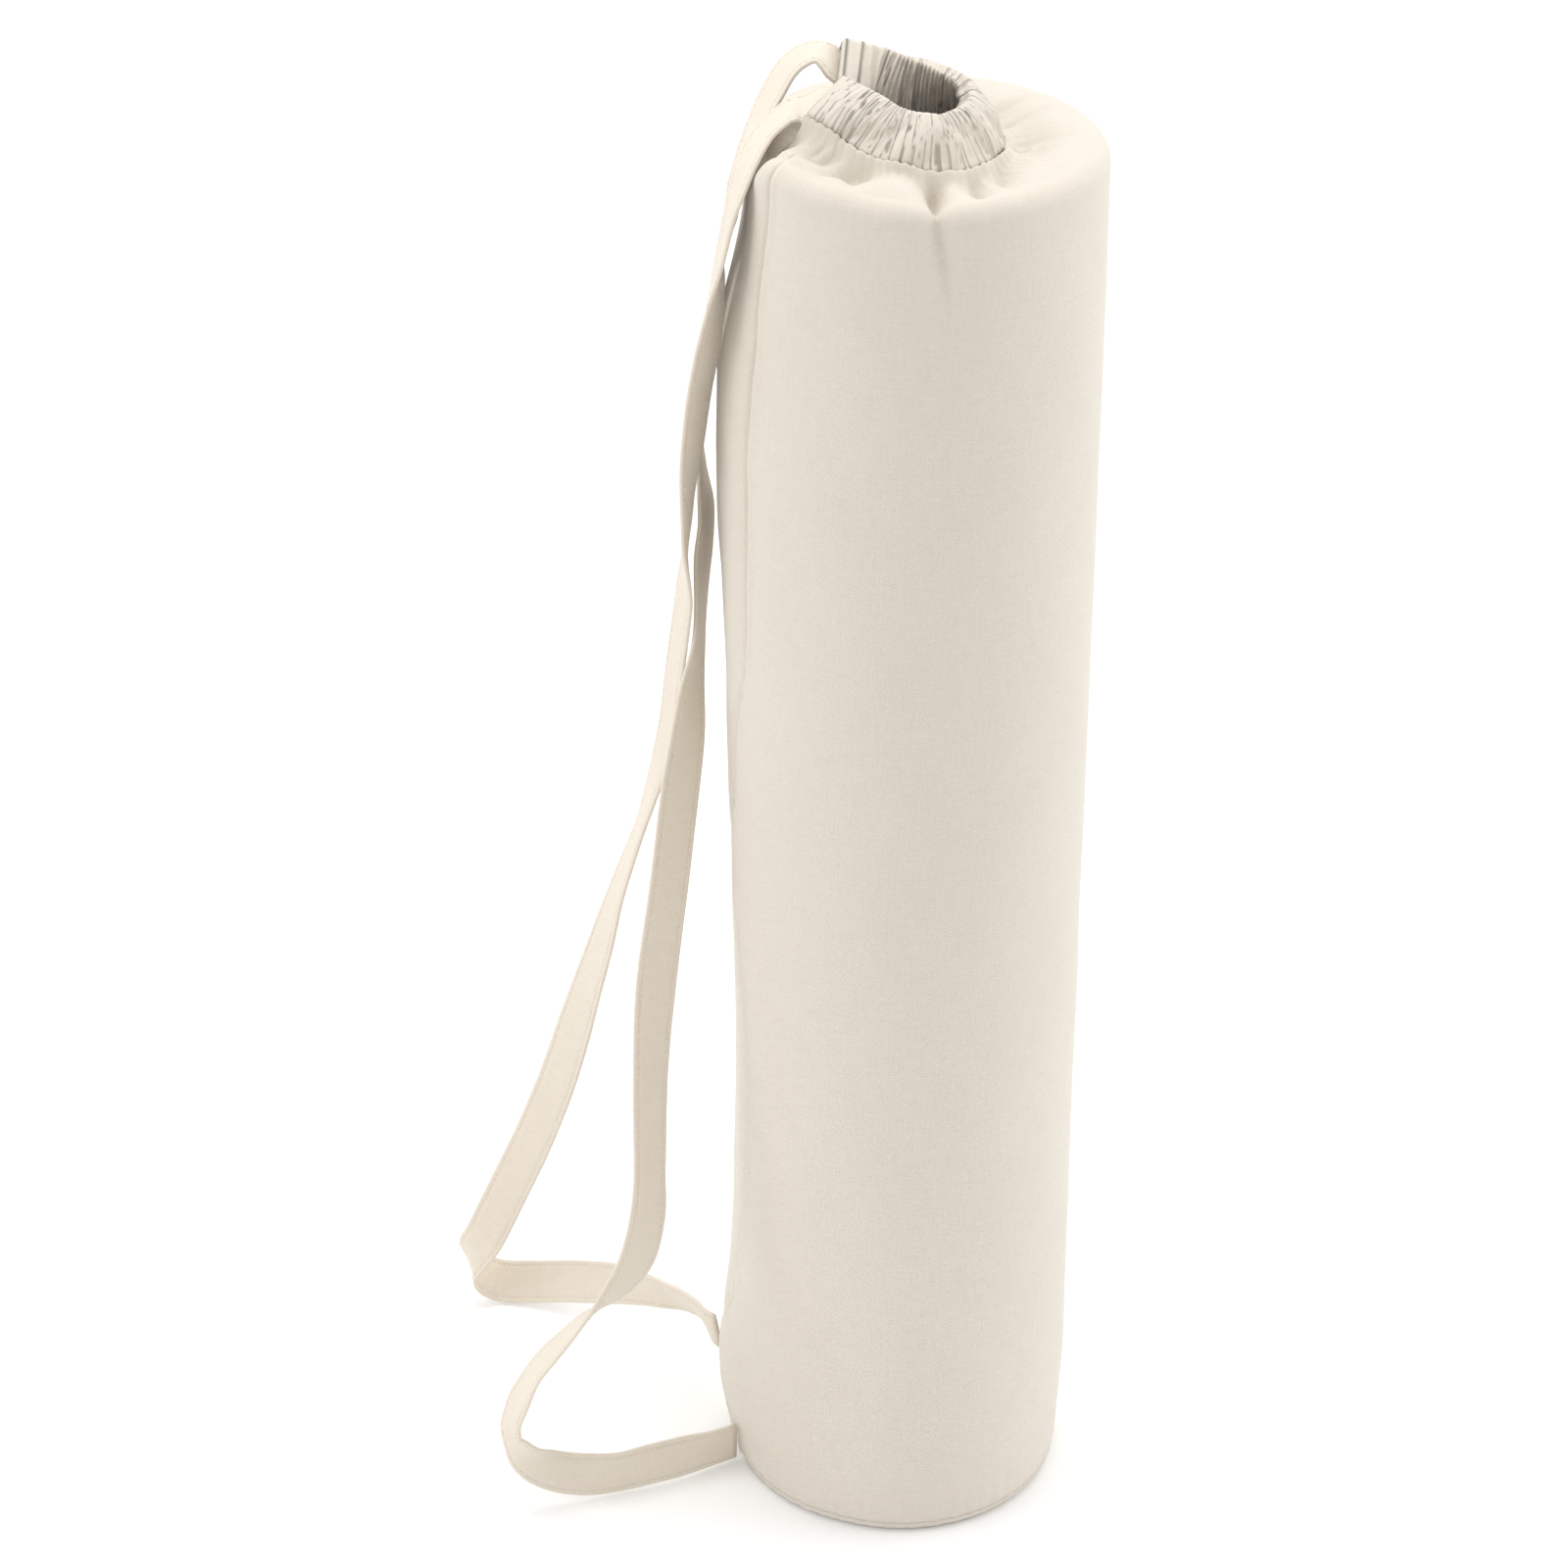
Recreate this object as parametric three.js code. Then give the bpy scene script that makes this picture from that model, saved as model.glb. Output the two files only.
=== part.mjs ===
// A drawstring bag for a rolled yoga mat: a tall cloth tube on a round base, gathered at the
// top into a channel, with one long flat strap that runs through the channel. Both ends of the
// strap are sewn into the side seam near the base. Millimetres, +Z up, seam and strap on -X.
import * as THREE from 'three';
import { mergeVertices } from 'three/addons/utils/BufferGeometryUtils.js';

// Driving sizes
const BODY_RADIUS = 78;
const BODY_HEIGHT = 658;
const CLOTH = 1.6;
const GAP = 0.3;
const NECK_GAP = 0.9;
const BASE_TURN_UP = 5.3;
const BASE_CORNER = 6;
const BASE_CLOTH = 2;
const BOTTOM_TUCK = 0.8;
const SHOULDER_ROUND = 9;
const SHOULDER_RISE = 6;
const DENT_DEPTH = 4;
const SEAM_DEPTH = 2.6;
const SEAM_WIDTH = 4.5;
const FOLD_DEPTH = 9;
const PLAIN_FOLDS = 8;
const LIP_DROP = 4;
const SLIT_DIP = 18;
const MOUTH_RADIUS = 21;
const MOUTH_X = -3;
const MOUTH_Y = -3;
const CHANNEL_INSIDE = 22.8;
const CHANNEL_ROOM = 6;
const CHANNEL_CLOTH = 1.3;
const CHANNEL_CORNER = 1.5;
const GATHERS = 18;
const STEPS_PER_GATHER = 4;
const GATHER_DEPTH = 0.8;
const STRAP_WIDTH = 21;
const STRAP_THICKNESS = 1.8;
const STRAP_REACH = 130;
const STRAP_STEP = 9;
const REAR_SEWN_GAP = 0.5;
const FRONT_SEWN_GAP = 2.7;
const SEGMENTS = 76;

// Dents of the side wall. bearing and span in degrees round the bag, up and tall as shares of
// the body height, depth as a share of DENT_DEPTH, less than nothing where the cloth swells.
const DENTS = [
  { bearing: 158, span: 26, up: 0.82, tall: 0.13, depth: -0.95 },
  { bearing: 160, span: 28, up: 0.99, tall: 0.08, depth: 2.4 },
  { bearing: 158, span: 26, up: 0.35, tall: 0.13, depth: 0.6 },
  { bearing: 160, span: 16, up: 0.07, tall: 0.06, depth: -1.6 },
  { bearing: 334, span: 30, up: 0, tall: 0.05, depth: 0.5 },
  { bearing: 228, span: 12, up: 0.12, tall: 0.12, depth: 0.35 },
  { bearing: 262, span: 14, up: 0.62, tall: 0.14, depth: 0.25 },
];

// Course of the side seam: bearing at a share of the body height.
const SEAM = [
  { up: 0, bearing: 172 },
  { up: 0.04, bearing: 162 },
  { up: 0.09, bearing: 159 },
  { up: 0.15, bearing: 170 },
  { up: 0.25, bearing: 179 },
  { up: 0.4, bearing: 177 },
  { up: 0.5, bearing: 165 },
  { up: 0.6, bearing: 175 },
  { up: 0.68, bearing: 184 },
  { up: 0.8, bearing: 185.5 },
  { up: 0.92, bearing: 190 },
  { up: 1, bearing: 195 },
];

// Ridge of the shoulder: rise as a share of SHOULDER_RISE.
const SHOULDER = [
  { bearing: 0, rise: 0 },
  { bearing: 100, rise: 0 },
  { bearing: 140, rise: -0.5 },
  { bearing: 160, rise: -1.6 },
  { bearing: 177, rise: -1.1 },
  { bearing: 190, rise: 0.8 },
  { bearing: 198, rise: 1 },
  { bearing: 214, rise: 0.6 },
  { bearing: 236, rise: 0.15 },
  { bearing: 260, rise: 0 },
  { bearing: 360, rise: 0 },
];

// Folds of the gathered top: they run from the bearing at the mouth to the bearing at the
// shoulder. width in degrees, depth as a share of FOLD_DEPTH, from and to as shares of the way
// out, spill as the share of the body height that a fold runs down the side.
const FOLDS = [
  { mouth: 266, shoulder: 251, width: 5, depth: 1, from: 0, to: 1, spill: 0.09 },
  { mouth: 279, shoulder: 264, width: 5, depth: 0.75, from: 0, to: 0.95, spill: 0 },
  { mouth: 294, shoulder: 276, width: 5.5, depth: 0.6, from: 0.05, to: 0.9, spill: 0 },
  { mouth: 322, shoulder: 312, width: 8, depth: 0.6, from: 0, to: 0.65, spill: 0 },
  { mouth: 342, shoulder: 334, width: 9, depth: 0.35, from: 0.2, to: 0.75, spill: 0 },
  { mouth: 250, shoulder: 222, width: 7, depth: 0.6, from: 0.05, to: 0.95, spill: 0 },
  { mouth: 225, shoulder: 205, width: 7, depth: 0.65, from: 0.05, to: 0.9, spill: 0 },
];
const PLAIN_FOLD = { width: 7, depth: 0.5, from: 0.05, to: 0.8, spill: 0 };
const PLAIN_START = 2;
const PLAIN_END = 126;

// Centre line of the channel round the mouth, from its rear end to its front end. radius as a
// share of MOUTH_RADIUS, lift as a share of the channel's outer height, lean in degrees inwards.
const CHANNEL = [
  { bearing: 117, radius: 1.62, lift: 0.82, lean: -66 },
  { bearing: 102, radius: 1.3, lift: 0.7, lean: -46 },
  { bearing: 82, radius: 1.05, lift: 0.56, lean: -16 },
  { bearing: 45, radius: 1.02, lift: 0.48, lean: 8 },
  { bearing: 0, radius: 1.25, lift: 0.38, lean: 29 },
  { bearing: -45, radius: 1.36, lift: 0.35, lean: 39 },
  { bearing: -90, radius: 1.4, lift: 0.33, lean: 44 },
  { bearing: -130, radius: 1.37, lift: 0.46, lean: 52 },
  { bearing: -160, radius: 1.42, lift: 0.65, lean: 59 },
  { bearing: -186, radius: 1.72, lift: 0.74, lean: 64 },
];

// The two hanging arms of the strap, from the channel to the seam. bearing in degrees, hug as
// a share of the body radius, out as a share of STRAP_REACH, up as the height of the strap's
// lower edge as a share of the channel's height above the floor, and the way that its width
// points: edge, a bearing, and tip, an angle above the level.
const REAR_ARM = [
  { bearing: 130, hug: 0.56, out: 0, up: 1.022, edge: 237, tip: -4 },
  { bearing: 133.3, hug: 0.64, out: 0, up: 1.02, edge: 251, tip: -4 },
  { bearing: 137, hug: 0.71, out: 0, up: 1.013, edge: 264, tip: 2 },
  { bearing: 141.6, hug: 0.77, out: 0, up: 1.0, edge: 272, tip: 10 },
  { bearing: 148, hug: 0.82, out: 0, up: 0.986, edge: 274, tip: 18 },
  { bearing: 160, hug: 0.887, out: 0, up: 0.968, edge: 270, tip: 20 },
  { bearing: 166, hug: 0.948, out: 0, up: 0.952, edge: 264, tip: 14 },
  { bearing: 164, hug: 0.972, out: 0, up: 0.936, edge: 257, tip: 2 },
  { bearing: 159, hug: 1, out: 0.019, up: 0.897, edge: 251, tip: -6 },
  { bearing: 158.5, hug: 1, out: 0.062, up: 0.844, edge: 252, tip: -8 },
  { bearing: 157, hug: 1, out: 0.092, up: 0.803, edge: 250, tip: -8 },
  { bearing: 153, hug: 1, out: 0.091, up: 0.774, edge: 246, tip: -8 },
  { bearing: 151.2, hug: 1, out: 0.083, up: 0.745, edge: 241, tip: -7 },
  { bearing: 151.6, hug: 1, out: 0.07, up: 0.721, edge: 233, tip: -4 },
  { bearing: 152.8, hug: 1, out: 0.078, up: 0.696, edge: 229, tip: 3 },
  { bearing: 154.5, hug: 1, out: 0.086, up: 0.66, edge: 236, tip: 10 },
  { bearing: 156.7, hug: 1, out: 0.094, up: 0.636, edge: 235, tip: 14 },
  { bearing: 160, hug: 1, out: 0.119, up: 0.604, edge: 218, tip: 13 },
  { bearing: 162.2, hug: 1, out: 0.136, up: 0.571, edge: 203, tip: 12 },
  { bearing: 165, hug: 1, out: 0.163, up: 0.538, edge: 195, tip: 12 },
  { bearing: 169.4, hug: 1, out: 0.215, up: 0.472, edge: 193, tip: 12 },
  { bearing: 173.3, hug: 1, out: 0.276, up: 0.405, edge: 190, tip: 11 },
  { bearing: 176.6, hug: 1, out: 0.317, up: 0.337, edge: 202, tip: 8 },
  { bearing: 180, hug: 1, out: 0.345, up: 0.266, edge: 207, tip: 8 },
  { bearing: 181, hug: 1, out: 0.366, up: 0.23, edge: 196, tip: 12 },
  { bearing: 181.2, hug: 1, out: 0.416, up: 0.196, edge: 193, tip: 22 },
  { bearing: 180.2, hug: 1, out: 0.498, up: 0.171, edge: 212, tip: 26 },
  { bearing: 179, hug: 1, out: 0.6, up: 0.155, edge: 240, tip: 10 },
  { bearing: 178, hug: 1, out: 0.68, up: 0.138, edge: 244, tip: -2 },
  { bearing: 176.9, hug: 1, out: 0.75, up: 0.118, edge: 250, tip: -6 },
  { bearing: 175.6, hug: 1, out: 0.8, up: 0.09, edge: 260, tip: -9 },
  { bearing: 173.4, hug: 1, out: 0.826, up: 0.06, edge: 264, tip: -14 },
  { bearing: 173.6, hug: 1, out: 0.85, up: 0.034, edge: 279, tip: -43 },
  { bearing: 176.2, hug: 1, out: 0.78, up: 0.012, edge: 262, tip: -62 },
  { bearing: 176.4, hug: 1, out: 0.68, up: 0.002, edge: 254, tip: -68 },
  { bearing: 176, hug: 1, out: 0.52, up: 0.001, edge: 252, tip: -72 },
  { bearing: 177, hug: 1, out: 0.33, up: 0.001, edge: 252, tip: -80 },
  { bearing: 177, hug: 1, out: 0.15, up: 0.002, edge: 262, tip: -84 },
];
const REAR_SEWN = { bearing: 176, up: 0.004, edge: 262, tip: -84, clear: REAR_SEWN_GAP };
const FRONT_ARM = [
  { bearing: 170.4, hug: 0.61, out: 0, up: 1.003, edge: 246, tip: -14 },
  { bearing: 170.3, hug: 0.67, out: 0, up: 1.003, edge: 259, tip: 0 },
  { bearing: 170.6, hug: 0.735, out: 0, up: 0.998, edge: 266, tip: 8 },
  { bearing: 172, hug: 0.82, out: 0, up: 0.99, edge: 273, tip: 15 },
  { bearing: 176, hug: 0.915, out: 0, up: 0.977, edge: 272, tip: 18 },
  { bearing: 178.2, hug: 0.97, out: 0, up: 0.966, edge: 264, tip: 11 },
  { bearing: 178.3, hug: 1.01, out: 0, up: 0.953, edge: 256, tip: 2 },
  { bearing: 177.8, hug: 1.03, out: 0, up: 0.94, edge: 251, tip: -3 },
  { bearing: 176.5, hug: 1, out: 0.038, up: 0.918, edge: 248, tip: -5 },
  { bearing: 174.8, hug: 1, out: 0.05, up: 0.894, edge: 232, tip: -4 },
  { bearing: 172, hug: 1, out: 0.072, up: 0.855, edge: 219, tip: -2 },
  { bearing: 169.5, hug: 1, out: 0.098, up: 0.817, edge: 219, tip: -3 },
  { bearing: 166.7, hug: 1, out: 0.116, up: 0.775, edge: 224, tip: -5 },
  { bearing: 164.7, hug: 1, out: 0.126, up: 0.745, edge: 234, tip: -8 },
  { bearing: 162.5, hug: 1, out: 0.13, up: 0.715, edge: 242, tip: -10 },
  { bearing: 160, hug: 1, out: 0.134, up: 0.68, edge: 262, tip: -12 },
  { bearing: 158, hug: 1, out: 0.146, up: 0.656, edge: 265, tip: -14 },
  { bearing: 153.5, hug: 1, out: 0.18, up: 0.605, edge: 266, tip: -16 },
  { bearing: 148.5, hug: 1, out: 0.222, up: 0.549, edge: 265, tip: -16 },
  { bearing: 145.3, hug: 1, out: 0.283, up: 0.506, edge: 255, tip: -16 },
  { bearing: 142.6, hug: 1, out: 0.354, up: 0.461, edge: 249, tip: -15 },
  { bearing: 140.3, hug: 1, out: 0.435, up: 0.415, edge: 256, tip: -16 },
  { bearing: 138.2, hug: 1, out: 0.515, up: 0.366, edge: 270, tip: -18 },
  { bearing: 136.4, hug: 1, out: 0.598, up: 0.317, edge: 280, tip: -19 },
  { bearing: 134.8, hug: 1, out: 0.684, up: 0.266, edge: 293, tip: -20 },
  { bearing: 133.5, hug: 1, out: 0.775, up: 0.215, edge: 299, tip: -21 },
  { bearing: 132.6, hug: 1, out: 0.89, up: 0.158, edge: 304, tip: -23 },
  { bearing: 132.3, hug: 1, out: 1.01, up: 0.104, edge: 310, tip: -26 },
  { bearing: 133.2, hug: 1, out: 1.1, up: 0.06, edge: 306, tip: -32 },
  { bearing: 132.9, hug: 1, out: 1.175, up: 0.027, edge: 278, tip: -42 },
  { bearing: 130.2, hug: 1, out: 1.105, up: 0.003, edge: 252, tip: -52 },
  { bearing: 128.7, hug: 1, out: 0.988, up: 0.004, edge: 248, tip: -52 },
  { bearing: 127.3, hug: 1, out: 0.831, up: 0.011, edge: 248, tip: -52 },
  { bearing: 126.7, hug: 1, out: 0.66, up: 0.02, edge: 255, tip: -58 },
  { bearing: 127.8, hug: 1, out: 0.486, up: 0.031, edge: 290, tip: -74 },
  { bearing: 131.2, hug: 1, out: 0.322, up: 0.0455, edge: 338, tip: -60 },
  { bearing: 139, hug: 1, out: 0.18, up: 0.056, edge: 334, tip: -58 },
  { bearing: 147, hug: 1, out: 0.122, up: 0.0646, edge: 330, tip: -66 },
  { bearing: 154, hug: 1, out: 0.095, up: 0.068, edge: 327, tip: -74 },
];
const FRONT_SEWN = { bearing: 157, up: 0.069, edge: 325, tip: -78, clear: FRONT_SEWN_GAP };
const ARM_LEAD = 4;

// Worked out from the driving sizes
const CHANNEL_HEIGHT = CHANNEL_INSIDE + 2 * CHANNEL_CLOTH;
const CHANNEL_DEPTH = CHANNEL_ROOM + 2 * CHANNEL_CLOTH;
const WALL_BOTTOM = BASE_TURN_UP + GAP;
const CHANNEL_Z = BODY_HEIGHT + CHANNEL_HEIGHT / 2;
const REAR_END = CHANNEL[0].bearing;
const FRONT_END = CHANNEL[CHANNEL.length - 1].bearing;

// Helpers
const radians = THREE.MathUtils.degToRad;
const mix = THREE.MathUtils.lerp;

function smooth(share) {
  return THREE.MathUtils.smoothstep(share, 0, 1);
}

function apart(bearing, other) {
  return THREE.MathUtils.euclideanModulo(bearing - other + 180, 360) - 180;
}

function bell(distance, width) {
  return Math.exp(-((distance / width) ** 2));
}

// The row of a table at a value of its first column, with the other columns smoothly between.
function readTable(rows, key, at) {
  const rising = rows[rows.length - 1][key] > rows[0][key];
  const ordered = rising ? rows : [...rows].reverse();
  const clamped = THREE.MathUtils.clamp(at, ordered[0][key], ordered[ordered.length - 1][key]);
  const next = Math.max(1, ordered.findIndex((row) => row[key] >= clamped));
  const low = ordered[next - 1];
  const high = ordered[next];
  const share = smooth((clamped - low[key]) / (high[key] - low[key]));
  const found = {};
  for (const column of Object.keys(low)) {
    found[column] = mix(low[column], high[column], share);
  }
  return found;
}

// Radius of the cloth at a bearing and a share of the body height.
function wallRadius(bearing, up) {
  let radius = BODY_RADIUS;
  for (const dent of DENTS) {
    const round = bell(apart(bearing, dent.bearing), dent.span);
    radius -= DENT_DEPTH * dent.depth * round * bell(up - dent.up, dent.tall);
  }
  const seam = readTable(SEAM, 'up', up).bearing;
  return radius - SEAM_DEPTH * bell(apart(bearing, seam), SEAM_WIDTH);
}

function shoulderHeight(bearing) {
  const whole = THREE.MathUtils.euclideanModulo(bearing, 360);
  return BODY_HEIGHT + SHOULDER_RISE * readTable(SHOULDER, 'bearing', whole).rise;
}

// Folds as a depth at a bearing and a share of the way from the mouth to the shoulder, or, past
// the shoulder, at a share of the body height below it.
function allFolds() {
  const folds = [...FOLDS];
  for (let number = 0; number < PLAIN_FOLDS; number += 1) {
    const bearing = mix(PLAIN_START, PLAIN_END, (number + 0.5) / PLAIN_FOLDS);
    folds.push({ mouth: bearing, shoulder: bearing, ...PLAIN_FOLD });
  }
  return folds;
}
const ALL_FOLDS = allFolds();

function foldDepth(bearing, outward) {
  let depth = 0;
  for (const fold of ALL_FOLDS) {
    const crease = fold.shoulder - apart(fold.shoulder, fold.mouth) * (1 - outward);
    const start = smooth((outward - fold.from) / 0.25);
    const end = fold.spill > 0 ? mix(1, 0.4, smooth(outward)) : smooth((fold.to - outward) / 0.3);
    const width = fold.width * mix(1.5, 1, outward);
    depth += FOLD_DEPTH * fold.depth * start * end * bell(apart(bearing, crease), width);
  }
  return depth;
}

function spillDepth(bearing, below) {
  let depth = 0;
  for (const fold of ALL_FOLDS) {
    const left = fold.spill > 0 ? smooth(1 - below / fold.spill) : 0;
    depth += 0.4 * FOLD_DEPTH * fold.depth * left * bell(apart(bearing, fold.shoulder), fold.width);
  }
  return depth;
}

function channelLine() {
  const points = CHANNEL.map((row) => {
    const angle = radians(row.bearing);
    const radius = MOUTH_RADIUS * row.radius;
    const x = MOUTH_X + radius * Math.cos(angle);
    const y = MOUTH_Y + radius * Math.sin(angle);
    return new THREE.Vector3(x, y, BODY_HEIGHT + CHANNEL_HEIGHT * row.lift);
  });
  return new THREE.CatmullRomCurve3(points, false, 'centripetal');
}
const CHANNEL_LINE = channelLine();

// The channel's centre, its upward direction and its outward direction at a bearing.
function channelFrame(bearing) {
  const clamped = THREE.MathUtils.clamp(bearing, FRONT_END, REAR_END);
  const next = Math.max(1, CHANNEL.findIndex((row) => row.bearing <= clamped));
  const low = CHANNEL[next - 1];
  const high = CHANNEL[next];
  const share = (clamped - low.bearing) / (high.bearing - low.bearing);
  const at = (next - 1 + share) / (CHANNEL.length - 1);
  const centre = CHANNEL_LINE.getPoint(at);
  const along = CHANNEL_LINE.getTangent(at);
  const level = new THREE.Vector3(0, 0, 1).cross(along).normalize();
  const rise = along.clone().cross(level);
  const lean = radians(mix(low.lean, high.lean, share));
  const upward = rise.clone().multiplyScalar(Math.cos(lean));
  upward.addScaledVector(level, -Math.sin(lean));
  const across = level.multiplyScalar(Math.cos(lean));
  across.addScaledVector(rise, Math.sin(lean));
  return { centre, upward, across };
}

// The body's top edge under the channel, and across the slit between the channel's two ends.
function neckFrame(bearing) {
  const turned = REAR_END - THREE.MathUtils.euclideanModulo(REAR_END - bearing, 360);
  const below = -CHANNEL_HEIGHT / 2 - NECK_GAP;
  if (turned >= FRONT_END) {
    const frame = channelFrame(turned);
    const edge = frame.centre.clone().addScaledVector(frame.upward, below);
    return { edge, across: frame.across };
  }
  const share = (FRONT_END - turned) / (360 - REAR_END + FRONT_END);
  const front = neckFrame(FRONT_END);
  const rear = neckFrame(REAR_END);
  const edge = front.edge.clone().lerp(rear.edge, share);
  edge.z -= SLIT_DIP * Math.sin(Math.PI * share);
  const across = front.across.clone().lerp(rear.across, share).normalize();
  return { edge, across };
}

// One point of the body's cloth: side wall, rounded shoulder or gathered top, outside or inside.
function wallPoint(bearing, up, inside) {
  const angle = radians(bearing);
  const foot = up === 0 ? BOTTOM_TUCK : 0;
  const below = 1 - up;
  const radius = wallRadius(bearing, up) - foot - spillDepth(bearing, below) - inside * CLOTH;
  const top = shoulderHeight(bearing) - SHOULDER_ROUND;
  return new THREE.Vector3(
    radius * Math.cos(angle),
    radius * Math.sin(angle),
    mix(WALL_BOTTOM, top, up),
  );
}

function shoulderPoint(bearing, round, inside) {
  const angle = radians(bearing);
  const turn = radians(round);
  const reach = SHOULDER_ROUND - spillDepth(bearing, 0) - inside * CLOTH;
  const radius = wallRadius(bearing, 1) - SHOULDER_ROUND + reach * Math.cos(turn);
  return new THREE.Vector3(
    radius * Math.cos(angle),
    radius * Math.sin(angle),
    shoulderHeight(bearing) - SHOULDER_ROUND + reach * Math.sin(turn),
  );
}

function topPoint(bearing, outward, inside) {
  const shoulder = shoulderPoint(bearing, 90, 0);
  shoulder.z += spillDepth(bearing, 0);
  const neck = neckFrame(bearing);
  const point = neck.edge.clone().lerp(shoulder, outward);
  const fold = foldDepth(bearing, outward);
  point.z -= fold + LIP_DROP * smooth(outward / 0.1) * (1 - outward);
  const lip = 1 - smooth(outward / 0.12);
  const side = CLOTH * (0.5 - inside);
  point.addScaledVector(neck.across, lip * side);
  point.z -= (1 - lip) * inside * CLOTH;
  return point;
}

// Stations up the side, round the shoulder and in to the mouth, each a function of the bearing.
const OUTSIDE_UPS = [0, 0.012, 0.045, 0.09, 0.15, 0.24, 0.35, 0.5, 0.64, 0.78, 0.88, 0.93, 0.97, 1];
const INSIDE_UPS = [0, 0.045, 0.15, 0.35, 0.64, 0.88, 0.93, 0.97, 1];
const SHOULDER_TURNS = [22.5, 45, 67.5];
const TOP_SHARES = [1, 0.82, 0.64, 0.47, 0.32, 0.18, 0.08, 0];

function wallStations(ups, inside) {
  const stations = ups.map((up) => (bearing) => wallPoint(bearing, up, inside));
  for (const turn of SHOULDER_TURNS) {
    stations.push((bearing) => shoulderPoint(bearing, turn, inside));
  }
  for (const outward of TOP_SHARES) {
    stations.push((bearing) => topPoint(bearing, outward, inside));
  }
  return stations;
}

// A closed lathe whose rings are then shaped by one function for each station of its profile.
function shapedLathe(stations, segments) {
  const profile = [...stations, stations[0]].map((_, number) => {
    const turn = (2 * Math.PI * number) / stations.length;
    return new THREE.Vector2(2 + Math.cos(turn), Math.sin(turn));
  });
  const geometry = new THREE.LatheGeometry(profile, segments);
  const position = geometry.getAttribute('position');
  for (let ring = 0; ring <= segments; ring += 1) {
    for (let number = 0; number < profile.length; number += 1) {
      const point = stations[number % stations.length](ring / segments);
      position.setXYZ(ring * profile.length + number, point.x, point.y, point.z);
    }
  }
  return weld(geometry);
}

// Shared corners become one vertex, and faces without area go.
function weld(geometry) {
  geometry.deleteAttribute('normal');
  geometry.deleteAttribute('uv');
  const merged = mergeVertices(geometry, 1e-3);
  const index = merged.index.array;
  const kept = [];
  for (let first = 0; first < index.length; first += 3) {
    const [a, b, c] = index.slice(first, first + 3);
    if (a !== b && b !== c && c !== a) {
      kept.push(a, b, c);
    }
  }
  merged.setIndex(kept);
  merged.computeVertexNormals();
  return merged;
}

function cloth(colour) {
  return new THREE.MeshStandardMaterial({
    color: colour,
    roughness: 0.92,
    metalness: 0,
    side: THREE.DoubleSide,
  });
}

function named(name, geometry, material) {
  const mesh = new THREE.Mesh(geometry, material);
  mesh.name = name;
  return mesh;
}

// The tube of cloth with its side seam, dents, shoulder and gathered top.
function body() {
  const outside = wallStations(OUTSIDE_UPS, 0);
  const inside = wallStations(INSIDE_UPS, 1).reverse();
  const stations = [...outside, ...inside].map((station) => (turn) => station(360 * turn));
  return named('body', shapedLathe(stations, SEGMENTS), cloth('#ddd5c7'));
}

// The round base: flat on the floor, with its edge turned up to meet the wall at the base seam.
function basePanel() {
  const rim = (bearing) => wallRadius(bearing, 0) - BOTTOM_TUCK;
  const at = (bearing, radius, height) => {
    const angle = radians(bearing);
    return new THREE.Vector3(radius * Math.cos(angle), radius * Math.sin(angle), height);
  };
  const corner = Math.min(BASE_CORNER, BASE_TURN_UP);
  const round = (bearing, turn, inset) => {
    const reach = corner - inset;
    const radius = rim(bearing) - corner + reach * Math.sin(radians(turn));
    return at(bearing, radius, corner - reach * Math.cos(radians(turn)));
  };
  const stations = [
    () => new THREE.Vector3(0, 0, BASE_CLOTH),
    () => new THREE.Vector3(0, 0, 0),
    (bearing) => round(bearing, 0, 0),
    (bearing) => round(bearing, 45, 0),
    (bearing) => at(bearing, rim(bearing), BASE_TURN_UP),
    (bearing) => at(bearing, rim(bearing) - BASE_CLOTH, BASE_TURN_UP),
    (bearing) => round(bearing, 45, BASE_CLOTH),
    (bearing) => at(bearing, rim(bearing) - corner, BASE_CLOTH),
  ];
  const turned = stations.map((station) => (turn) => station(360 * turn));
  return named('base_panel', shapedLathe(turned, SEGMENTS), cloth('#d8cfbf'));
}

// The drawstring channel: a gathered tube of folded cloth, open at both ends by the seam.
function drawstringChannel() {
  const steps = GATHERS * STEPS_PER_GATHER;
  const section = (depth, height, corner) => [
    [depth / 2, -height / 2 + corner],
    [depth / 2, height / 2 - corner],
    [depth / 2 - corner, height / 2],
    [-depth / 2 + corner, height / 2],
    [-depth / 2, height / 2 - corner],
    [-depth / 2, -height / 2 + corner],
    [-depth / 2 + corner, -height / 2],
    [depth / 2 - corner, -height / 2],
  ];
  const outer = section(CHANNEL_DEPTH, CHANNEL_HEIGHT, CHANNEL_CORNER);
  const innerCorner = CHANNEL_CORNER / 2;
  const inner = section(CHANNEL_ROOM, CHANNEL_INSIDE, innerCorner);
  const station = (corners, step) => (turn) => {
    const share = step / steps;
    const frame = channelFrame(mix(REAR_END, FRONT_END, share));
    const ends = smooth(Math.min(share, 1 - share) * GATHERS);
    const ripple = GATHER_DEPTH * ends * Math.cos(2 * Math.PI * GATHERS * share);
    const [depth, height] = corners[Math.round(turn * corners.length) % corners.length];
    const point = frame.centre.clone().addScaledVector(frame.across, depth + ripple);
    return point.addScaledVector(frame.upward, height);
  };
  const stations = [];
  for (let step = 0; step <= steps; step += 1) {
    stations.push(station(outer, step));
  }
  for (let step = steps; step >= 0; step -= 1) {
    stations.push(station(inner, step));
  }
  return named('drawstring_channel', shapedLathe(stations, outer.length), cloth('#e2dacc'));
}

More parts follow.
